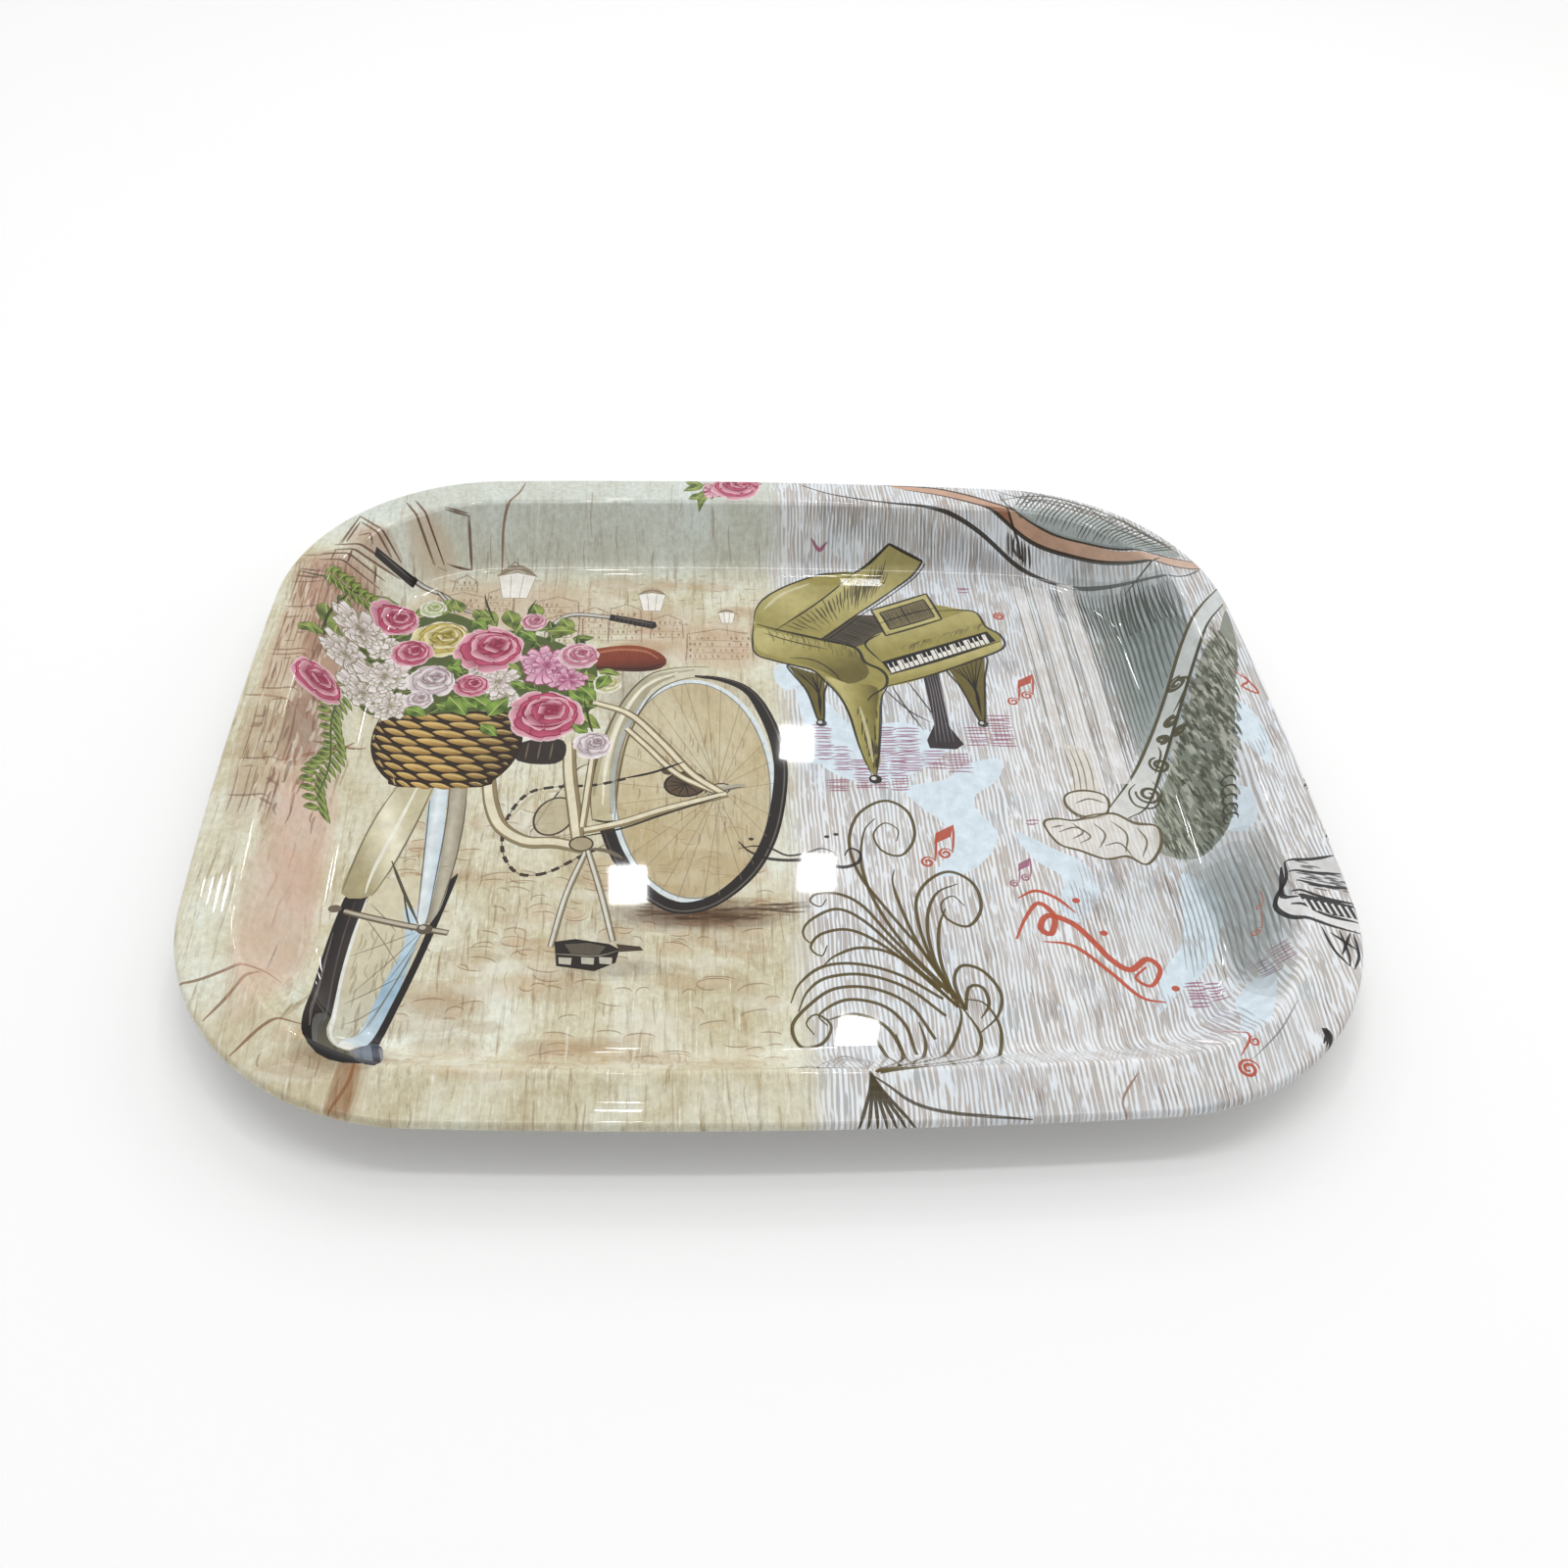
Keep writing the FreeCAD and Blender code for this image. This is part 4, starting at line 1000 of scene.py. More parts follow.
def draw_harp():
    """The corner of a harp: shaded body, ornamented edge, column and claw foot, and painted shade at the
    foot of the right wall.
    """
    shade = ramp((132, 20), (152, 20), ink(154, 160, 146), ink(132, 140, 126), ink(146, 150, 140))
    body = [(167, 66), (160, 52), (152, 42), (140, 12), (128, -12), (122, -30), (124, -36), (134, -38),
            (144, -32), (148, -18), (152, 0), (158, 22), (165, 44)]
    area(body, shade, step=3)
    back = [(127, 68), (150, 66), (148, 40), (140, 16), (128, -6), (126, 20)]
    area(back, ink(148, 160, 158, 0.6), step=4)
    # Painted shade: a soft grey-blue wash down the foot of the right wall, below the harp.
    smudge([(130, -40), (146, -38), (150, -60), (147, -84), (137, -100), (133, -88), (133, -64)],
           (146, 158, 160), 0.75)
    strip = [(168, 80), (158, 68), (149, 54), (140, 34), (131, 16), (122, 0), (111, -15), (116, -20),
             (124, -14), (134, 6), (142, 24), (150, 42), (158, 58), (167, 70)]
    area(strip, ramp((120, -10), (162, 66), ink(226, 228, 224), ink(206, 212, 210), ink(214, 220, 220)),
         step=3)
    draw(strip[:7], 1.2, ink(92, 88, 62))
    draw(strip[:6:-1], 1.1, ink(78, 76, 56))
    near = curve([(123, -31), (123, -24), (128, -11), (136, 7), (143, 24), (151, 42), (159, 58)], 3)
    far = curve([(128, -36), (140, -35), (147, -24), (151, -8), (156, 12), (164, 44)], 3)
    for _ in range(760):
        t, s = rng.random(), rng.random()
        (ax, ay), (bx, by) = along(near, t), along(far, t)
        x, y = ax + (bx - ax) * s, ay + (by - ay) * s
        draw([(x, y + 2), (x + 0.5, y), (x + 0.7, y - rng.uniform(1, 4))], rng.uniform(0.45, 0.85),
             ink(*rng.choice(((58, 62, 44), (78, 82, 62), (104, 108, 88), (196, 198, 184))), 0.7), step=2)
    for x in np.arange(122, 152, 1.7):
        top = 92 - (x - 122) * 0.3
        foot = max((x - 116) * 1.9 - 8, -10)
        if top > foot + 6:
            draw([(x, top), (x + 0.5, (top + foot) / 2 + 3), (x + 0.2, (top + foot) / 2 - 3), (x, foot)],
                 0.8, ink(66, 80, 72, 0.7), step=5)
        draw([(x, -40 + rng.uniform(-3, 3)), (x + 0.3, -64), (x - 2, -86 + rng.uniform(-8, 8))], 0.6,
             ink(104, 112, 106, 0.55), step=5)
    pen = ink(78, 74, 44, 0.95)
    for centre, radius, start in (((144, 37), 2.8, 60), ((140, 23), 2.2, 60), ((136, 17), 2.1, 240),
                                  ((141, 17), 1.9, 0), ((132.5, 5), 3.8, 100), ((125.5, -9), 4.4, 160)):
        stroke(spiral(centre, radius, 1.8, start), 1.3, pen, taper=(0.6, 0.4))
    for line in ([(144, 40), (147, 36), (144, 30), (141, 26)], [(134, 14), (134, 10), (130, 1)],
                 [(128, -3), (130, -8), (126, -15), (120, -14), (119, -8), (122, -4)]):
        draw(line, 0.8, pen)
    for west, east, foot in ((98, 102.5, 14), (105, 112, -6), (115, 121, -4)):
        area([(west, foot), (west, 104), (east, 102), (east, foot)], ink(246, 244, 242, 0.5), smooth=False)
        for x in (west, east):
            draw([(x, 104), (x + 0.4, 60), (x, foot)], 0.5, ink(122, 116, 100, 0.8), step=5)
    area([(101, 14), (108, 13), (109, 2), (108.5, -9), (100, -9), (102, 2)], ink(232, 228, 218, 0.85),
         step=3)
    for x in (101, 103, 105, 107.5):
        draw([(x, 13), (x + 0.8, 2), (x - 0.2, -9)], 0.5, ink(130, 118, 92, 0.85), step=3)
    for points in ([(98, -9), (104, -7), (110, -9), (111, -14), (108, -19), (101, -19), (97, -14)],
                   [(88, -22), (92, -20), (98, -21), (104, -19), (112, -18), (118, -22), (125, -24),
                    (124, -32), (118, -40), (112, -37), (105, -38), (98, -34), (91, -31)]):
        area(points, ink(240, 236, 228, 0.65), step=2)
        for _ in range(2):
            draw([(x + rng.uniform(-0.5, 0.5), y + rng.uniform(-0.5, 0.5)) for x, y in points], 0.7,
                 ink(98, 84, 48, 0.9), closed=True)
    for line in ([(100, -13), (105, -11), (110, -13)], [(92, -26), (98, -24), (102, -28), (98, -31)],
                 [(104, -22), (107, -27), (104, -33)], [(110, -21), (114, -27), (112, -35)],
                 [(118, -24), (120, -30), (117, -37)], [(97, -22), (100, -26), (96, -29)],
                 [(106, -32), (111, -31), (114, -37)], [(90, -24), (94, -23)]):
        draw(line, 0.65, ink(106, 94, 64, 0.9))
    for k in range(18):
        x = 98 + 1.9 * k
        draw([(x, 92 - 0.6 * k), (x + 0.8, 50), (x + 0.4, 12 + 5 * max(k - 12, 0))], 0.35,
             ink(150, 140, 124, 0.5), step=6)


def draw_band():
    """The harp's neck across the far corner: a bent tan board with sketched lines round it."""
    board = ramp((60, 140), (160, 92), ink(214, 172, 146), ink(198, 160, 136), ink(214, 186, 166))
    area([(52, 143), (62, 142), (72, 140.5), (84, 135.5), (98, 127), (112, 119), (126, 111.5), (140, 102),
          (152, 97), (162, 95), (165, 91), (156, 91), (146, 95), (134, 102), (120, 110.5), (106, 117.5),
          (96, 123.5), (84, 130.5), (72, 136), (58, 140)], board, step=3)
    area([(86, 130), (96, 127), (99, 123), (96, 123.5)], ink(150, 98, 70, 0.8), smooth=False)
    for width, line in (
            (1.1, ((50, 143), (62, 142.4), (72, 141), (84, 136), (98, 127.4), (112, 119.4), (126, 112),
                   (140, 103), (152, 97.5), (163, 95))),
            (1.1, ((58, 140), (72, 136), (84, 130.5), (96, 123.5), (106, 117.5), (120, 110.5), (134, 102),
                   (146, 95), (156, 91), (166, 91))),
            (1.3, ((18, 142), (26, 137), (35, 133.5), (50, 130), (62, 128.5), (74, 126), (86, 121),
                   (100, 112.5), (115, 104), (130, 96.5), (143, 90), (151, 85.5), (157, 86), (163, 90))),
            (0.9, ((96, 129), (98, 124), (101, 118), (102, 114))),
            (0.8, ((150, 97), (142, 92), (137, 89)))):
        draw(line, width, ink(52, 44, 32, 0.95))
    for k in range(7):
        x, y = 97 + 1.3 * k, 121 - 0.7 * k
        draw([(x, y), (x + rng.uniform(-0.5, 1.5), y - 3), (x + rng.uniform(0, 2.5), y - 6)], 0.9,
             ink(60, 50, 36, 0.9), step=2)
    slate = ramp((110, 120), (150, 80), ink(176, 186, 184, 0.85), ink(140, 152, 150, 0.8))
    area([(98, 128), (112, 128), (130, 122), (146, 110), (158, 99), (152, 98), (140, 103), (126, 112),
          (112, 119.5)],
         slate, step=3)
    smudge([(120, 106), (134, 97.5), (146, 91), (150, 88), (152, 60), (150, 20), (140, 14), (130, 0),
            (128, 40), (124, 80), (120, 96)], (140, 152, 150), 0.8)
    hatch(curve([(98, 127), (120, 115), (146, 100)], 3), curve([(106, 142), (134, 130), (160, 103)], 3), 34,
          0.62, ink(58, 64, 48, 0.95))
    hatch(curve([(110, 106), (130, 97), (148, 89)], 3), curve([(112, 84), (130, 66), (152, 52)], 3), 30, 0.6,
          ink(66, 76, 66, 0.85))
    hatch(curve([(20, 140), (50, 130), (84, 121), (110, 106)], 3),
          curve([(18, 122), (48, 116), (84, 110), (110, 94)], 3), 70, 0.55, ink(128, 120, 108, 0.6))
    for line in (((93, 141), (102, 136), (116, 131), (132, 122), (145, 113)),
                 ((94, 133), (108, 137), (120, 135), (134, 127)),
                 ((100, 130), (112, 134), (126, 129), (140, 118)),
                 ((118, 136), (128, 126), (140, 121), (150, 108)),
                 ((128, 132), (136, 118), (148, 112), (156, 104)), ((95, 138), (97, 130), (102, 124)),
                 ((140, 124), (146, 114), (158, 100)), ((104, 141), (124, 133), (142, 120), (160, 97)),
                 ((130, 112), (138, 114), (150, 104))):
        draw(line, 0.85, ink(84, 82, 66, 0.85))


def draw_piano():
    """A grand piano, olive with loose dark outlines, seen from its left."""
    olive, pale, deep = (160, 150, 84), (196, 186, 124), (108, 98, 48)
    for leg in ([(9, 56), (22, 50), (21, 40), (20, 27), (18, 27), (15, 42)],
                [(66, 57), (81, 62), (79, 48), (76, 27), (74, 27), (70, 44)]):
        area(leg, ink(*deep), smooth=False)
        draw(leg, 0.8, PEN, closed=True, step=1.6)
        (ax, ay), (bx, by), foot = leg[0], leg[1], leg[4]
        for k in range(7):
            t = (k + 0.5) / 7
            draw([(ax + (bx - ax) * t, ay + (by - ay) * t - 0.5),
                  (foot[0] + 1, (ay + foot[1]) / 2 + rng.uniform(-3, 3)), (foot[0] + 1, foot[1] + 2)], 0.5,
                 PEN, step=3)
        area(ellipse((foot[0] + 1, foot[1] - 1.6), 1.9, 1.9, count=12), PEN, smooth=False)
        area(ellipse((foot[0] + 0.6, foot[1] - 1.2), 0.8, 0.8, count=8), ink(214, 214, 206), smooth=False)
    for line in ([(45, 46), (49, 34), (54, 22)], [(51, 48), (55, 38), (59, 28)],
                 [(42, 44), (50, 32), (57, 26)]):
        draw(line, 0.6, PEN, step=3)
    area([(57, 53), (63, 55), (63, 24), (67, 15), (64, 12.5), (55, 13), (54.5, 17), (58, 25)],
         ink(56, 50, 54), smooth=False)
    for k in range(5):
        draw([(58.4 + k, 52), (58.8 + k, 38), (57.6 + 1.5 * k, 16)], 0.4, ink(150, 146, 150, 0.6), step=4)
    body = [(-2, 80), (-3, 70), (-2, 62), (4, 58.5), (12, 55.5), (18, 53), (22, 48), (26, 41), (28, 33),
            (30, 20), (32, 6), (35, -1), (37.5, 6), (38.5, 20), (40, 36), (42.5, 44), (52, 47), (70, 55),
            (88.5, 66.5), (88.5, 74), (84, 78), (80, 88), (66, 92), (44, 86), (34, 67), (22, 71), (6, 76)]
    area(body, ink(*olive), smooth=False)
    area([(-1.5, 77), (6, 74), (21, 69), (32, 66), (38, 52), (30, 46), (22, 52), (12, 58), (-1, 64)],
         ramp((10, 74), (24, 50), ink(*pale), ink(*olive), ink(*deep)), step=3)
    area([(22, 50), (30, 46), (40, 44), (38, 28), (36, 4), (34.5, 0), (32, 10), (30, 26), (27, 40)],
         ramp((27, 30), (39, 30), ink(*pale), ink(*olive), ink(*deep)), step=3)
    lid = [(-2, 83), (-1, 88), (2, 94), (8, 100), (17, 106), (25, 109.5), (37, 110.5), (36, 104), (25, 90),
           (14, 80), (6, 76), (-1, 79)]
    area(lid, ramp((0, 80), (26, 108), ink(*olive), ink(*pale), ink(*olive)), step=2.4)
    under = [(6, 76), (22, 70.5), (36, 85), (50, 99), (64, 114), (51, 118.5), (37, 110)]
    area(under, ramp((20, 76), (56, 116), ink(*olive), ink(*pale), ink(170, 160, 104)), smooth=False)
    hatch([(8, 78), (36, 108), (51, 117)], [(20, 73), (33, 84), (42, 92)], 30, 0.6, ink(58, 50, 30, 0.85),
          0.5, (0.0, 0.75))
    hatch([(12, 80), (38, 107), (53, 116)], [(22, 74), (35, 86), (46, 97)], 20, 0.5, ink(82, 74, 50, 0.8),
          0.6)
    dark = [(22, 70.5), (36, 85), (44, 85), (48, 79), (41, 70), (34, 66)]
    area(dark, ink(84, 76, 60), smooth=False)
    hatch([(22, 70.5), (30, 78), (36, 85)], [(34, 66), (41, 72), (47, 79)], 15, 0.6, ink(40, 34, 30, 0.9))
    desk = [(42, 88), (64, 98.5), (68, 83), (46, 73)]
    panel = [(45, 86.5), (62.5, 95), (65.5, 84.5), (48, 76.5)]
    area(desk, ink(*pale), smooth=False)
    area(panel, ink(120, 110, 78), smooth=False)
    hatch([(45, 86), (62, 94.5)], [(48, 77), (65, 85)], 16, 0.45, ink(60, 54, 42, 0.8))
    draw([(44, 80), (56, 86), (67, 90)], 0.7, PEN)
    draw([(53, 91), (56, 80)], 0.6, PEN)
    area([(43, 74), (55, 78), (70, 84), (80, 88), (83, 78), (62, 70), (45, 63), (38, 66)],
         ramp((60, 84), (64, 70), ink(*pale), ink(*olive)), step=3)
    area([(43, 58), (62, 66), (84, 76), (86.5, 70.5), (66, 60), (46, 51)], ink(38, 34, 33), smooth=False)
    for k in range(21):
        t = k / 21
        a = (46 + 38.4 * t, 52.0 + 17.6 * t)
        b = (a[0] + 1.45, a[1] + 0.66)
        area([a, b, (b[0] - 1.1, b[1] + 5.0), (a[0] - 1.1, a[1] + 5.0)], ink(240, 238, 228), smooth=False)
    for k in range(21):
        if k % 7 in (2, 6):
            continue
        t = k / 21
        x, y = 46.4 + 38.4 * t, 55.0 + 17.6 * t
        draw([(x, y), (x - 0.7, y + 3.4)], 1.2, ink(20, 18, 18), step=1.5, taper=(1, 1))
    area([(45, 51), (66, 60), (88, 70), (88.5, 66), (68, 55), (44, 45)], ramp((64, 60), (66, 54), ink(*pale),
                                                                           ink(*olive)), smooth=False)
    for line, width in ((lid[:7], 0.9),
                        (((-1, 79), (6, 76), (22, 70.5), (34, 66), (37, 58), (42, 54), (44, 50), (43, 44.5),
                          (38, 40), (36, 37)), 1.3),
                        (((-2, 83), (-3, 70), (-2, 62), (4, 58.5), (12, 55.5), (18, 53), (22, 47), (26, 40),
                          (29, 30), (31, 14), (34, 0)), 0.9),
                        (((44, 45), (41, 38), (39, 22), (37, 8), (35.6, 0)), 1.0),
                        (((44, 45), (60, 51), (76, 59), (88.5, 66.5), (88.6, 74), (84, 79), (80.5, 88),
                          (66, 88)),
                         1.0), (((43, 58), (62, 66), (84, 76)), 0.9),
                        (((45, 51), (66, 60), (88, 70.4)), 0.9), (((6, 76), (22, 92), (37, 110)), 0.8),
                        (((44, 74), (38, 68), (43, 58)), 0.8),
                        (((10, 60), (18, 59), (24, 54), (28, 47)), 0.6),
                        (((1, 74), (12, 69), (24, 65)), 0.6)):
        draw(line, width, PEN)
    sketch(under[1:], 0.9, PEN)
    sketch([(23, 69), (38, 85), (52, 99), (65, 113.4)], 0.6, PEN)
    sketch(desk, 1.0, PEN, closed=True)
    sketch(panel, 0.7, PEN, closed=True)
    for _ in range(34):
        y = rng.uniform(2, 30)
        x = 35 + rng.uniform(-1, 1) * (0.8 + y * 0.1)
        draw([(x, y), (x + 0.3, y + 2), (x + 0.4, y + rng.uniform(3, 6))], 0.5, ink(52, 44, 30, 0.8), step=2)
    for _ in range(40):
        x = rng.uniform(2, 34)
        y = 80 - (x - 2) * 0.36 - rng.uniform(1, 7)
        draw([(x, y), (x + 0.8, y - 2), (x + 0.6, y - 4)], 0.4, ink(92, 84, 48, 0.6), step=2)
    for _ in range(70):
        t = rng.random()
        draw([(50 + 34 * t, 64 + 15 * t + rng.uniform(-2, 3)), (51.5 + 34 * t, 67 + 15 * t)], 0.4,
             ink(96, 88, 50, 0.55), step=2)
    draw([(2, 88), (9, 97), (20, 104)], 1.4, ink(226, 222, 186, 0.7))
    draw([(33, 34), (34.4, 20), (35, 6)], 1.2, ink(216, 210, 168, 0.75))
    area(ellipse((35, -2), 2.2, 2.2, count=12), ink(52, 46, 42), smooth=False)
    area(ellipse((34.5, -1.6), 0.9, 0.9, count=8), ink(226, 226, 218), smooth=False)


def draw_small_piano():
    """A second piano cut off by the right rim, black line on white, and its neighbours."""
    black = ink(26, 24, 26, 0.95)
    area([(148, -66), (153, -70), (160, -72), (169, -75), (169, -84), (158, -81), (150, -76), (147, -71)],
         ink(238, 238, 238), smooth=False)
    area([(153, -56), (160, -56), (168, -54), (168, -66), (158, -68), (152, -64)], ink(222, 222, 222),
         smooth=False)
    for line in ([(152, -56), (160, -55.5), (168, -53.5)], [(152, -56), (151, -62), (148, -66), (147, -70),
                 (150, -77), (157, -81), (166, -84)], [(153, -64), (160, -66), (168, -67)],
                 [(151, -67), (160, -71), (169, -73)], [(150, -71), (157, -77), (167, -80)],
                 [(152, -60), (160, -61), (168, -61)], [(151, -57), (150, -62), (149, -67), (152, -70)]):
        draw(line, 1.15, black)
    area([(152, -69), (160, -71.5), (169, -74), (169, -79), (160, -77.5), (153, -74)], black, smooth=False)
    for k in range(8):
        x = 153 + 2.0 * k
        draw([(x, -71.5 - 0.4 * k), (x + 0.8, -75.5 - 0.5 * k)], 0.8, ink(236, 236, 236), step=2,
             taper=(1, 1))
    for _ in range(30):
        x, y = rng.uniform(152, 167), rng.uniform(-68, -56)
        draw([(x, y), (x + 2, y - 0.3), (x + 4, y - 0.8)], 0.55, ink(50, 48, 50, 0.8), step=2)
    for line in ([(155, -82), (156, -90), (159, -96)], [(160, -83), (160, -92), (159, -96)],
                 [(164, -84), (163, -92), (160, -97)], [(157, -84), (163, -90)], [(163, -84), (158, -92)]):
        draw(line, 0.9, black)
    for x, y, reach in ((143, -122, 5), (168, -24, 4), (168, -46, 4), (167, -93, 4)):
        for k in range(4):
            draw([(x + 0.7 * k, y - k), (x + 1.5 + 0.5 * k, y + reach * 0.5), (x + 1 + 0.4 * k, y + reach)],
                 0.8, black, step=2)
    draw([(90, -131), (86, -136), (84, -140), (85, -146)], 0.7, ink(150, 110, 80, 0.8))
    draw([(122, -127), (132, -118), (140, -108)], 0.5, ink(120, 116, 108, 0.7))


def draw_everything():
    """All motifs, from the ground up, because a later one covers an earlier one."""
    draw_street()
    draw_buildings()
    draw_lantern((-90, 101), 1.0)
    draw_lantern((-39.5, 92), 0.72)
    draw_lantern((-12, 83), 0.45)
    draw_sky_patches()
    draw_pencil_bundles()
    draw_band()
    draw_harp()
    draw_rear_wheel()
    draw_scroll_work()
    draw_notes()
    draw_piano()
    draw_small_piano()
    draw_frame()
    draw_front_wheel()
    draw_handlebars()
    draw_basket()
    draw_flowers()
    draw_far_rim()


# ---------------------------------------------------------------------------------------------------------
# Pressing the drawing into the film
# ---------------------------------------------------------------------------------------------------------
GRID = 4.0              # millimetres between the vertices of the flat base
MOST_POINTS = 1500      # outline points that one cut takes
LEAST_BOX = 6.0         # millimetres; a box this small isn't halved again
MARGIN = 6.0            # how far round a box the lattice is taken in, so that its edges cross the border
TILE_X = (-HALF_WIDTH - 8, -106.0, 0.0, 85.0, HALF_WIDTH + 8)
TILE_Y = (-HALF_DEPTH - 8, -62.0, 0.0, 62.0, HALF_DEPTH + 8)


def bend_lines():
    """Distances inside the edge at which the film has an edge, so that it follows the section."""
    spans = ((FILM_END, ROLL_START, 12), (ROLL_START, CREST_END, 4), (CREST_END, CREST_START, 6),
             (CREST_START, FILLET_END, 3), (FILLET_END, fillet_in, 6))
    lines = [fillet_in]
    for low, high, count in spans:
        lines.extend(np.linspace(low, high, count, endpoint=False))
    return sorted(lines)


def lattice():
    """The film's own vertices and edges, before any ink: rings round the rim and a grid on the base."""
    points, edges = [], []
    for inside in bend_lines():
        ring = outline(inside)
        first = len(points)
        points.extend(ring)
        edges.extend((first + k, first + (k + 1) % len(ring)) for k in range(len(ring)))
    flat = []
    for row, y in enumerate(np.arange(-HALF_DEPTH, HALF_DEPTH, GRID)):
        for x in np.arange(-HALF_WIDTH, HALF_WIDTH, GRID):
            flat.append((x + (row % 2) * GRID / 2, y))
    flat = np.array(flat)
    flat = flat[edge_distance(flat)[0] > fillet_in + 1.0]
    points.extend(map(tuple, flat))
    return points, edges


def counter_clockwise(points):
    """The same outline, wound counter-clockwise."""
    twice = sum(ax * by - bx * ay for (ax, ay), (bx, by) in zip(points, points[1:] + points[:1]))
    return points if twice > 0 else points[::-1]


def blend_paints(stack, x, y):
    """Lays paints over each other, and gives their colour and how much they cover."""
    colour, cover = (0.0, 0.0, 0.0), 0.0
    for paint in stack:
        red, green, blue, alpha = paint(x, y)
        if cover == 0.0:
            colour = (red, green, blue)
        total = alpha + cover * (1 - alpha)
        if total > 0:
            share = alpha / total
            colour = tuple(old + (new - old) * share for old, new in zip(colour, (red, green, blue)))
        cover = total
    return (*colour, cover)


def crosses(points, box):
    """Whether an outline's own box meets this one."""
    xs, ys = [p[0] for p in points], [p[1] for p in points]
    return max(xs) > box[0] and min(xs) < box[1] and max(ys) > box[2] and min(ys) < box[3]


def cut(box, shapes, points, edges):
    """Cuts a box of the plan along the lattice and the outlines, in halves while it holds too much.

    Gives a list of (plan points, triangles, colour of each corner).
    """
    shapes = [k for k in shapes if crosses(drawing[k][0], box)]
    x0, x1, y0, y1 = box
    if sum(len(drawing[k][0]) for k in shapes) > MOST_POINTS and max(x1 - x0, y1 - y0) > LEAST_BOX:
        if x1 - x0 > y1 - y0:
            middle = (x0 + x1) / 2
            halves = ((x0, middle, y0, y1), (middle, x1, y0, y1))
        else:
            middle = (y0 + y1) / 2
            halves = ((x0, x1, y0, middle), (x0, x1, middle, y1))
        return [piece for half in halves for piece in cut(half, shapes, points, edges)]

    kept, places = {}, []

    def keep(point):
        places.append(Vector(point))
        return len(places) - 1

    for k, (x, y) in enumerate(points):
        if x0 - MARGIN < x < x1 + MARGIN and y0 - MARGIN < y < y1 + MARGIN:
            kept[k] = keep((x, y))
    lines = [(kept[a], kept[b]) for a, b in edges if a in kept and b in kept]
    corners = [keep(p) for p in ((x0, y0), (x1, y0), (x1, y1), (x0, y1))]
    lines += [(corners[k], corners[(k + 1) % 4]) for k in range(4)]
    faces = [[keep(p) for p in counter_clockwise(drawing[k][0])] for k in shapes]
    verts, _, triangles, _, _, owners = delaunay_2d_cdt(places, lines, faces, 0, 1e-4, True)

    plan = np.array([tuple(v) for v in verts])
    triangles = np.array(triangles)
    middle = plan[triangles].mean(axis=1)
    inside = edge_distance(middle)[0]
    wanted = ((middle[:, 0] > x0) & (middle[:, 0] < x1) & (middle[:, 1] > y0) & (middle[:, 1] < y1)
              & (inside > FILM_END))
    triangles = triangles[wanted]
    owners = [owners[k] for k in np.nonzero(wanted)[0]]
    if not len(triangles):
        return []
    used, triangles = np.unique(triangles, return_inverse=True)
    triangles = triangles.reshape(-1, 3)
    plan = plan[used]
    colours, known = [], {}
    for triangle, owner in zip(triangles.tolist(), owners):
        stack = tuple(sorted(owner))
        for corner in triangle:
            if (corner, stack) not in known:
                paints = [drawing[shapes[k]][1] for k in stack]
                known[corner, stack] = blend_paints(paints, *plan[corner])
            colours.append(known[corner, stack])
    return [(plan, triangles, colours)]


def press_tile(name, box, points, edges):
    """Makes one tile of the film, with every outline that crosses it."""
    plans, triangles, colours = [], [], []
    first = 0
    for plan, corners, tints in cut(box, range(len(drawing)), points, edges):
        plans.append(plan)
        triangles.append(corners + first)
        colours.extend(tints)
        first += len(plan)
    plan = np.concatenate(plans)
    places, normals = lay(plan)
    mesh = bpy.data.meshes.new(name)
    mesh.from_pydata(places.tolist(), [], np.concatenate(triangles).tolist())
    tints = mesh.color_attributes.new("ink", "FLOAT_COLOR", "CORNER")
    tints.data.foreach_set("color", np.array(colours).ravel())
    inset = mesh.attributes.new("inset", "FLOAT", "POINT")
    inset.data.foreach_set("value", edge_distance(plan)[0])
    mesh.shade_smooth()
    mesh.normals_split_custom_set_from_vertices(normals.tolist())
    tile = bpy.data.objects.new(name, mesh)
    bpy.context.scene.collection.objects.link(tile)
    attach(tile, "root")
    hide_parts("printed_face")
    return tile


def press_print(material):
    """Presses the whole drawing, tile by tile, from the front left corner."""
    points, edges = lattice()
    for row in range(len(TILE_Y) - 1):
        for column in range(len(TILE_X) - 1):
            box = (TILE_X[column], TILE_X[column + 1], TILE_Y[row], TILE_Y[row + 1])
            tile = press_tile(f"print_tile_{row + 1}_{column + 1}", box, points, edges)
            tile.data.materials.append(material)


# ---------------------------------------------------------------------------------------------------------
# Materials
# ---------------------------------------------------------------------------------------------------------
SEAM = (0.007, 0.019)   # metres along X, where the stone ground gives way to the pencilled one
FAR_SHEEN_EDGE = (0.092, 0.125)      # metres along Y over which a painted reflection turns the stone ground's far wall and flange grey-blue
PENCIL_ROWS = ((0.00135, 0.0, 0.34), (0.00175, 1.7, 0.42))  # pitch in metres, shift, and how broken
BEND = 0.00001          # metres of unevenness in a glossy surface
RIPPLE_PITCH = 2.3      # millimetres between the faint press marks round the flange


def screen(red, green, blue):
    """A screen colour as a node's value."""
    return linear(red), linear(green), linear(blue), 1.0


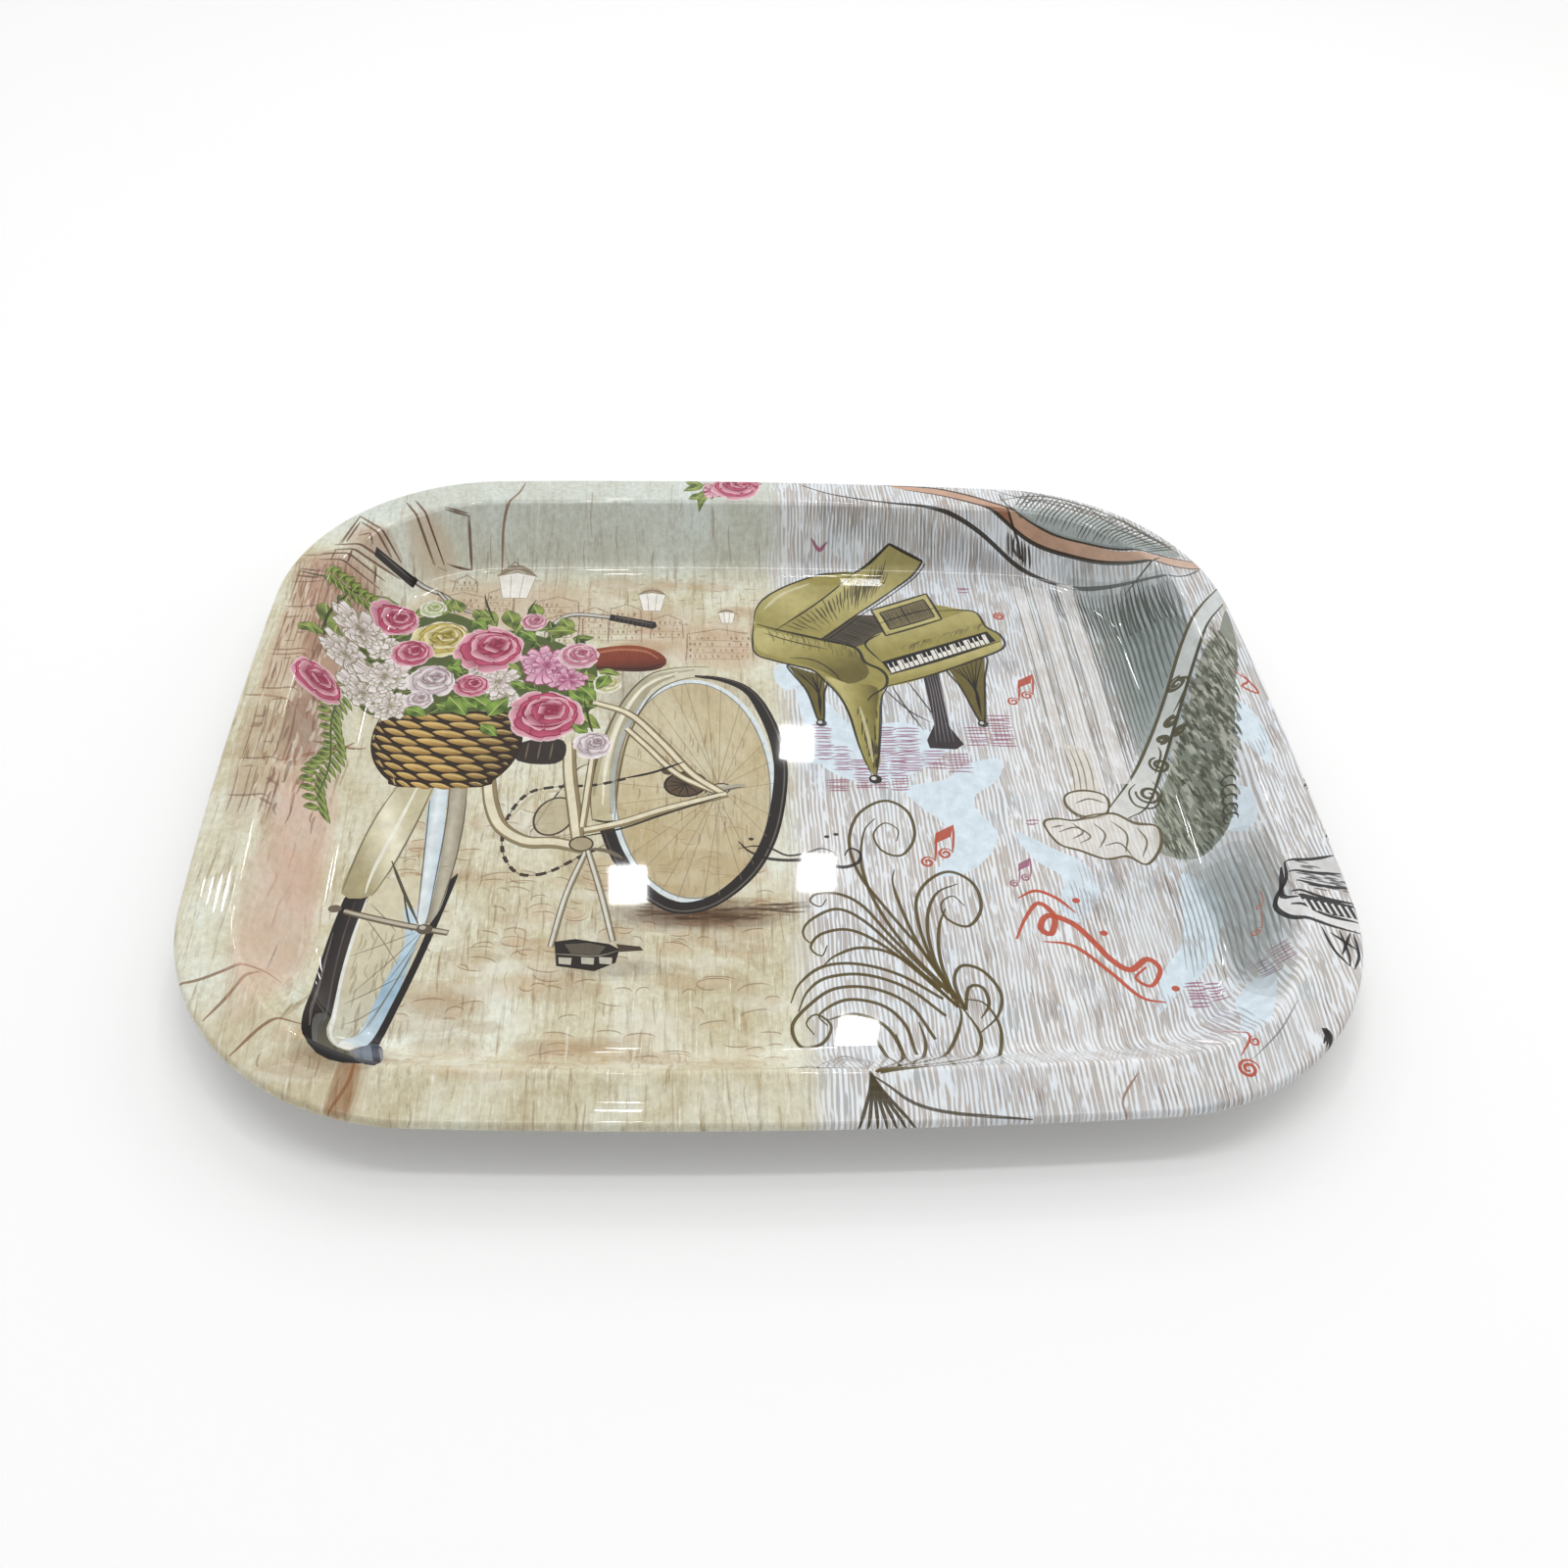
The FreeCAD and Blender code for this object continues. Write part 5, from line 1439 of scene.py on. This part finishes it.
class Nodes:
    """A short way to build a material's node tree."""

    def __init__(self, name):
        self.material = bpy.data.materials.new(name)
        self.material.use_nodes = True
        self.tree = self.material.node_tree
        self.shader = self.tree.nodes["Principled BSDF"]
        self.place = self.add("ShaderNodeTexCoord").outputs["Object"]

    def add(self, kind, inputs=None, **settings):
        """A node with its settings, and values or links for its inputs."""
        node = self.tree.nodes.new(kind)
        for key, value in settings.items():
            setattr(node, key, value)
        for key, value in (inputs or {}).items():
            self.feed(node.inputs[key], value)
        return node

    def feed(self, socket, value):
        """Links a socket, or sets it to a value."""
        if isinstance(value, bpy.types.NodeSocket):
            self.tree.links.new(value, socket)
        else:
            socket.default_value = value

    def maths(self, operation, a, b=0.0):
        """A sum of two values."""
        return self.add("ShaderNodeMath", {0: a, 1: b}, operation=operation).outputs[0]

    def noise(self, scale, detail=2.0, roughness=0.5, distortion=0.0, offset=(0, 0, 0)):
        """Noise with its own scale along each axis, per metre."""
        mapped = self.add("ShaderNodeMapping", {"Vector": self.place, "Scale": scale, "Location": offset})
        return self.add("ShaderNodeTexNoise", {
            "Vector": mapped.outputs[0], "Scale": 1.0, "Detail": detail, "Roughness": roughness,
            "Distortion": distortion}).outputs["Fac"]

    def steps(self, value, *stops):
        """A colour ramp through (place, colour) stops."""
        ramp_node = self.add("ShaderNodeValToRGB", {"Fac": value})
        elements = ramp_node.color_ramp.elements
        while len(elements) < len(stops):
            elements.new(1.0)
        for element, (place, colour) in zip(elements, stops):
            element.position = place
            element.color = screen(*colour)
        return ramp_node.outputs["Color"]

    def between(self, value, low, high):
        """0 below low and 1 above high, smoothly."""
        return self.add("ShaderNodeMapRange", {"Value": value, "From Min": low, "From Max": high},
                        interpolation_type="SMOOTHSTEP").outputs["Result"]

    def mix(self, share, a, b, blend="MIX"):
        """A share of colour b over colour a."""
        node = self.add("ShaderNodeMix", data_type="RGBA", blend_type=blend)
        self.feed(node.inputs[0], share)
        self.feed(node.inputs[6], a)
        self.feed(node.inputs[7], b)
        return node.outputs[2]


def stone_ground(n):
    """The aged watercolour ground of the left half: cream washes with brown streaks down the sheet, under a
    painted grey-blue reflection towards the far side.
    """
    washes = n.steps(n.noise((30, 22, 20), 6.0, 0.66, 0.8),
                     (0.26, (184, 166, 130)), (0.42, (210, 202, 172)), (0.54, (224, 221, 198)),
                     (0.68, (236, 240, 228)), (0.85, (208, 196, 164)))
    streaks = n.noise((520, 42, 60), 5.0, 0.68, 0.6)
    streaked = n.mix(n.between(streaks, 0.5, 0.76), washes, screen(162, 140, 102))
    fine = n.noise((1300, 90, 200), 3.0, 0.65)
    pale = n.mix(n.between(fine, 0.52, 0.8), streaked, screen(242, 240, 226))
    north = n.add("ShaderNodeSeparateXYZ", {0: n.place}).outputs["Y"]
    # Painted reflection: towards the far side the wall and flange turn grey-blue, a sheen painted into the
    # ground's colour.
    sheened = n.mix(n.maths("MULTIPLY", n.between(north, *FAR_SHEEN_EDGE), 0.5), pale, screen(206, 222, 226))
    grain = n.noise((560, 420, 420), 5.0, 0.75)
    return n.mix(0.45, sheened, n.steps(grain, (0.25, (178, 168, 150)), (0.6, (255, 255, 252))), "MULTIPLY")


def pencil_ground(n):
    """The ground of the right half: fine pencil strokes down a pale sheet, in short overlapping rows."""
    sheet = n.steps(n.noise((16, 12, 16), 3.0, 0.5), (0.35, (220, 230, 238)), (0.65, (238, 241, 244)))
    sway = n.add("ShaderNodeCombineXYZ", {"X": n.maths("MULTIPLY", n.noise((60, 34, 60), 2.0), 0.003)})
    bent = n.add("ShaderNodeVectorMath", {0: n.place, 1: sway.outputs[0]}, operation="ADD")
    across = n.add("ShaderNodeSeparateXYZ", {0: bent.outputs[0]}).outputs["X"]
    weight = None
    for pitch, shift, low in PENCIL_ROWS:
        turn = n.maths("ADD", n.maths("MULTIPLY", across, 2 * math.pi / pitch),
                       n.maths("MULTIPLY", n.noise((420, 40, 60), 2.0, offset=(shift, shift, 0)), 5.0))
        lines = n.between(n.maths("SINE", turn), -0.25, 0.6)
        broken = n.between(n.noise((330, 95, 60), 2.0, offset=(shift * 3, shift, 1)), low, low + 0.12)
        layer = n.maths("MULTIPLY", lines, broken)
        weight = layer if weight is None else n.maths("MAXIMUM", weight, layer)
    tone = n.steps(n.noise((36, 26, 20), 4.0, 0.65, 0.4),
                   (0.32, (148, 142, 150)), (0.44, (160, 146, 134)), (0.56, (170, 152, 134)),
                   (0.66, (146, 148, 146)), (0.76, (164, 148, 152)))
    patchy = n.maths("ADD", n.maths("MULTIPLY", n.between(n.noise((55, 36, 30), 3.0), 0.25, 0.6), 0.28),
                     0.46)
    return n.mix(n.maths("MULTIPLY", weight, patchy), sheet, tone)


def gloss(n, ripple):
    """Clear varnish on pressed sheet: sharp reflections, which a faint unevenness of the sheet bends."""
    n.shader.inputs["Roughness"].default_value = 0.5
    n.shader.inputs["Specular IOR Level"].default_value = 0.0
    n.shader.inputs["Coat Weight"].default_value = 0.7
    n.shader.inputs["Coat Roughness"].default_value = 0.03
    n.shader.inputs["Coat IOR"].default_value = 1.5
    bump = n.add("ShaderNodeBump", {"Height": ripple, "Strength": 1.0, "Distance": BEND})
    n.feed(n.shader.inputs["Normal"], bump.outputs["Normal"])
    n.feed(n.shader.inputs["Coat Normal"], bump.outputs["Normal"])


def print_material():
    """The inks over their ground, under varnish."""
    n = Nodes("print_film_look")
    split = n.add("ShaderNodeSeparateXYZ", {0: n.place})
    drift = n.maths("MULTIPLY", n.noise((70, 25, 40), 3.0, 0.6), 0.012)
    side = n.between(n.maths("ADD", split.outputs["X"], drift), *SEAM)
    ground = n.mix(side, stone_ground(n), pencil_ground(n))
    inks = n.add("ShaderNodeVertexColor", layer_name="ink")
    mottle = n.steps(n.noise((260, 200, 260), 4.0, 0.65), (0.3, (224, 222, 220)), (0.7, (255, 255, 255)))
    inked = n.mix(0.8, inks.outputs["Color"], mottle, "MULTIPLY")
    n.feed(n.shader.inputs["Base Color"], n.mix(inks.outputs["Alpha"], ground, inked))
    ripple = n.maths("ADD", n.noise((70, 70, 70), 2.0),
                     n.maths("MULTIPLY", n.noise((620, 620, 620), 2.0), 0.09))
    inset = n.add("ShaderNodeAttribute", attribute_name="inset").outputs["Fac"]
    waves = n.maths("SINE", n.maths("MULTIPLY", inset, 2 * math.pi / RIPPLE_PITCH))
    flange = n.maths("MULTIPLY", n.between(inset, 1.5, 4.0),
                     n.maths("SUBTRACT", 1.0, n.between(inset, FLANGE_WIDTH - 3, FLANGE_WIDTH + 1)))
    ripple = n.maths("ADD", ripple, n.maths("MULTIPLY", n.maths("MULTIPLY", waves, flange), 0.9))
    gloss(n, ripple)
    return n.material


def tinplate_material():
    """Bright tinplate under clear lacquer, with the faint drawing marks of the press."""
    n = Nodes("tinplate_look")
    spangle = n.noise((90, 90, 90), 5.0, 0.6, 0.8)
    n.feed(n.shader.inputs["Base Color"], n.steps(spangle, (0.3, (176, 174, 168)), (0.7, (206, 205, 200))))
    n.shader.inputs["Metallic"].default_value = 0.9
    n.feed(n.shader.inputs["Roughness"], n.add("ShaderNodeMapRange", {
        "Value": n.noise((300, 22, 60), 3.0), "To Min": 0.24, "To Max": 0.42}).outputs["Result"])
    n.shader.inputs["Coat Weight"].default_value = 0.4
    n.shader.inputs["Coat Roughness"].default_value = 0.2
    bump = n.add("ShaderNodeBump", {"Height": n.noise((900, 900, 900), 3.0), "Strength": 0.4,
                                    "Distance": BEND})
    n.feed(n.shader.inputs["Normal"], bump.outputs["Normal"])
    return n.material


# ---------------------------------------------------------------------------------------------------------
# Floor, light and camera
# ---------------------------------------------------------------------------------------------------------
FLOOR_HALF = 3.0                            # metres
CEILING, LAMP_SIZE, LAMP_POWER = 1.3, 0.052, 0.55   # metres over the base, metres a side, and watts
# Where the lamps would show in a flat base, in millimetres. The last five show on the wall and the flange.
GLINTS = ((-45, -48), (10, 15), (13, -43), (20, -105), (-55, 200), (-45, -200), (120, 190), (-190, -50),
          (180, -30))
EYE = (-31.2, -347.1, 322.1 + roll_up)      # the camera, in millimetres
PITCH, YAW, CAMERA_ROLL = math.radians(44.53), math.radians(-5.97), math.radians(4.30)
FOCAL, SENSOR = 0.9425, 36.0                # focal length in picture widths, and the sensor in millimetres


def make_floor():
    """A plain pale floor under the tray."""
    half = FLOOR_HALF
    mesh = bpy.data.meshes.new("floor")
    mesh.from_pydata([(-half, -half, 0), (half, -half, 0), (half, half, 0), (-half, half, 0)], [],
                     [(0, 1, 2, 3)])
    floor = bpy.data.objects.new("floor", mesh)
    bpy.context.scene.collection.objects.link(floor)
    n = Nodes("floor_look")
    n.shader.inputs["Base Color"].default_value = (0.9, 0.9, 0.9, 1)
    n.shader.inputs["Emission Color"].default_value = (1, 1, 1, 1)
    n.shader.inputs["Emission Strength"].default_value = 0.12
    n.shader.inputs["Roughness"].default_value = 0.9
    n.shader.inputs["Specular IOR Level"].default_value = 0.1
    mesh.materials.append(n.material)


def area_light(name, place, target, size, power, colour=(1, 1, 1)):
    """A square light that faces a target."""
    light = bpy.data.lights.new(name, "AREA")
    light.size = size
    light.energy = power
    light.color = colour
    lamp = bpy.data.objects.new(name, light)
    lamp.location = place
    lamp.rotation_euler = (Vector(target) - Vector(place)).to_track_quat("-Z", "Y").to_euler()
    bpy.context.scene.collection.objects.link(lamp)
    return lamp


def make_lights(eye):
    """Soft light from above and one side, and small ceiling lamps that show in the varnish."""
    world = bpy.data.worlds.new("studio")
    world.use_nodes = True
    tree = world.node_tree
    direction = tree.nodes.new("ShaderNodeTexCoord")
    axes = tree.nodes.new("ShaderNodeSeparateXYZ")
    level = tree.nodes.new("ShaderNodeMapRange")
    tree.links.new(direction.outputs["Generated"], axes.inputs[0])
    tree.links.new(axes.outputs["Y"], level.inputs["Value"])
    level.inputs["From Min"].default_value = -0.2
    level.inputs["From Max"].default_value = 0.95
    level.inputs["To Min"].default_value = 0.42
    level.inputs["To Max"].default_value = 1.12
    tree.links.new(level.outputs["Result"], tree.nodes["Background"].inputs["Strength"])
    tree.nodes["Background"].inputs["Color"].default_value = (1, 1, 1, 1)
    bpy.context.scene.world = world
    area_light("overhead", (0.1, -0.1, 1.6), (0, 0, 0), 1.2, 2.5)
    strip = area_light("strip", (0.05, 0.05, 1.5), (0.05, 0.05, 0), 1.4, 4)
    strip.data.shape = "RECTANGLE"
    strip.data.size_y = 0.10
    area_light("right_fill", (1.6, 0.4, 0.7), (0, 0, 0), 0.9, 2, (1.0, 0.97, 0.93))
    for number, (x, y) in enumerate(GLINTS):
        glint = Vector((x, y, BASE_LEVEL)) * MM
        ray = glint - eye
        ray.z = -ray.z
        place = glint + ray * (CEILING / ray.z)
        area_light(f"ceiling_lamp_{number + 1}", place, glint, LAMP_SIZE, LAMP_POWER)


def make_camera(eye):
    """The photograph's viewing angle: down, a little to the right, and slightly rolled."""
    turn = Matrix.Rotation(YAW, 3, "Z") @ Matrix.Rotation(math.pi / 2 - PITCH, 3, "X")
    turn = turn @ Matrix.Rotation(CAMERA_ROLL, 3, "Z")
    data = bpy.data.cameras.new("camera")
    data.sensor_width = SENSOR
    data.lens = FOCAL * SENSOR
    data.clip_start = 0.01
    camera = bpy.data.objects.new("camera", data)
    camera.matrix_world = Matrix.Translation(eye) @ turn.to_4x4()
    bpy.context.scene.collection.objects.link(camera)
    bpy.context.scene.camera = camera


def main():
    """Draws the print, presses it, and sets the stage."""
    eye = Vector(EYE) * MM
    make_camera(eye)
    make_lights(eye)
    make_floor()
    draw_everything()
    press_print(print_material())
    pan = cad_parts["tinplate_pan"]
    for slot in pan.material_slots:
        slot.material = tinplate_material()
    bpy.context.scene.view_settings.view_transform = "Standard"


main()
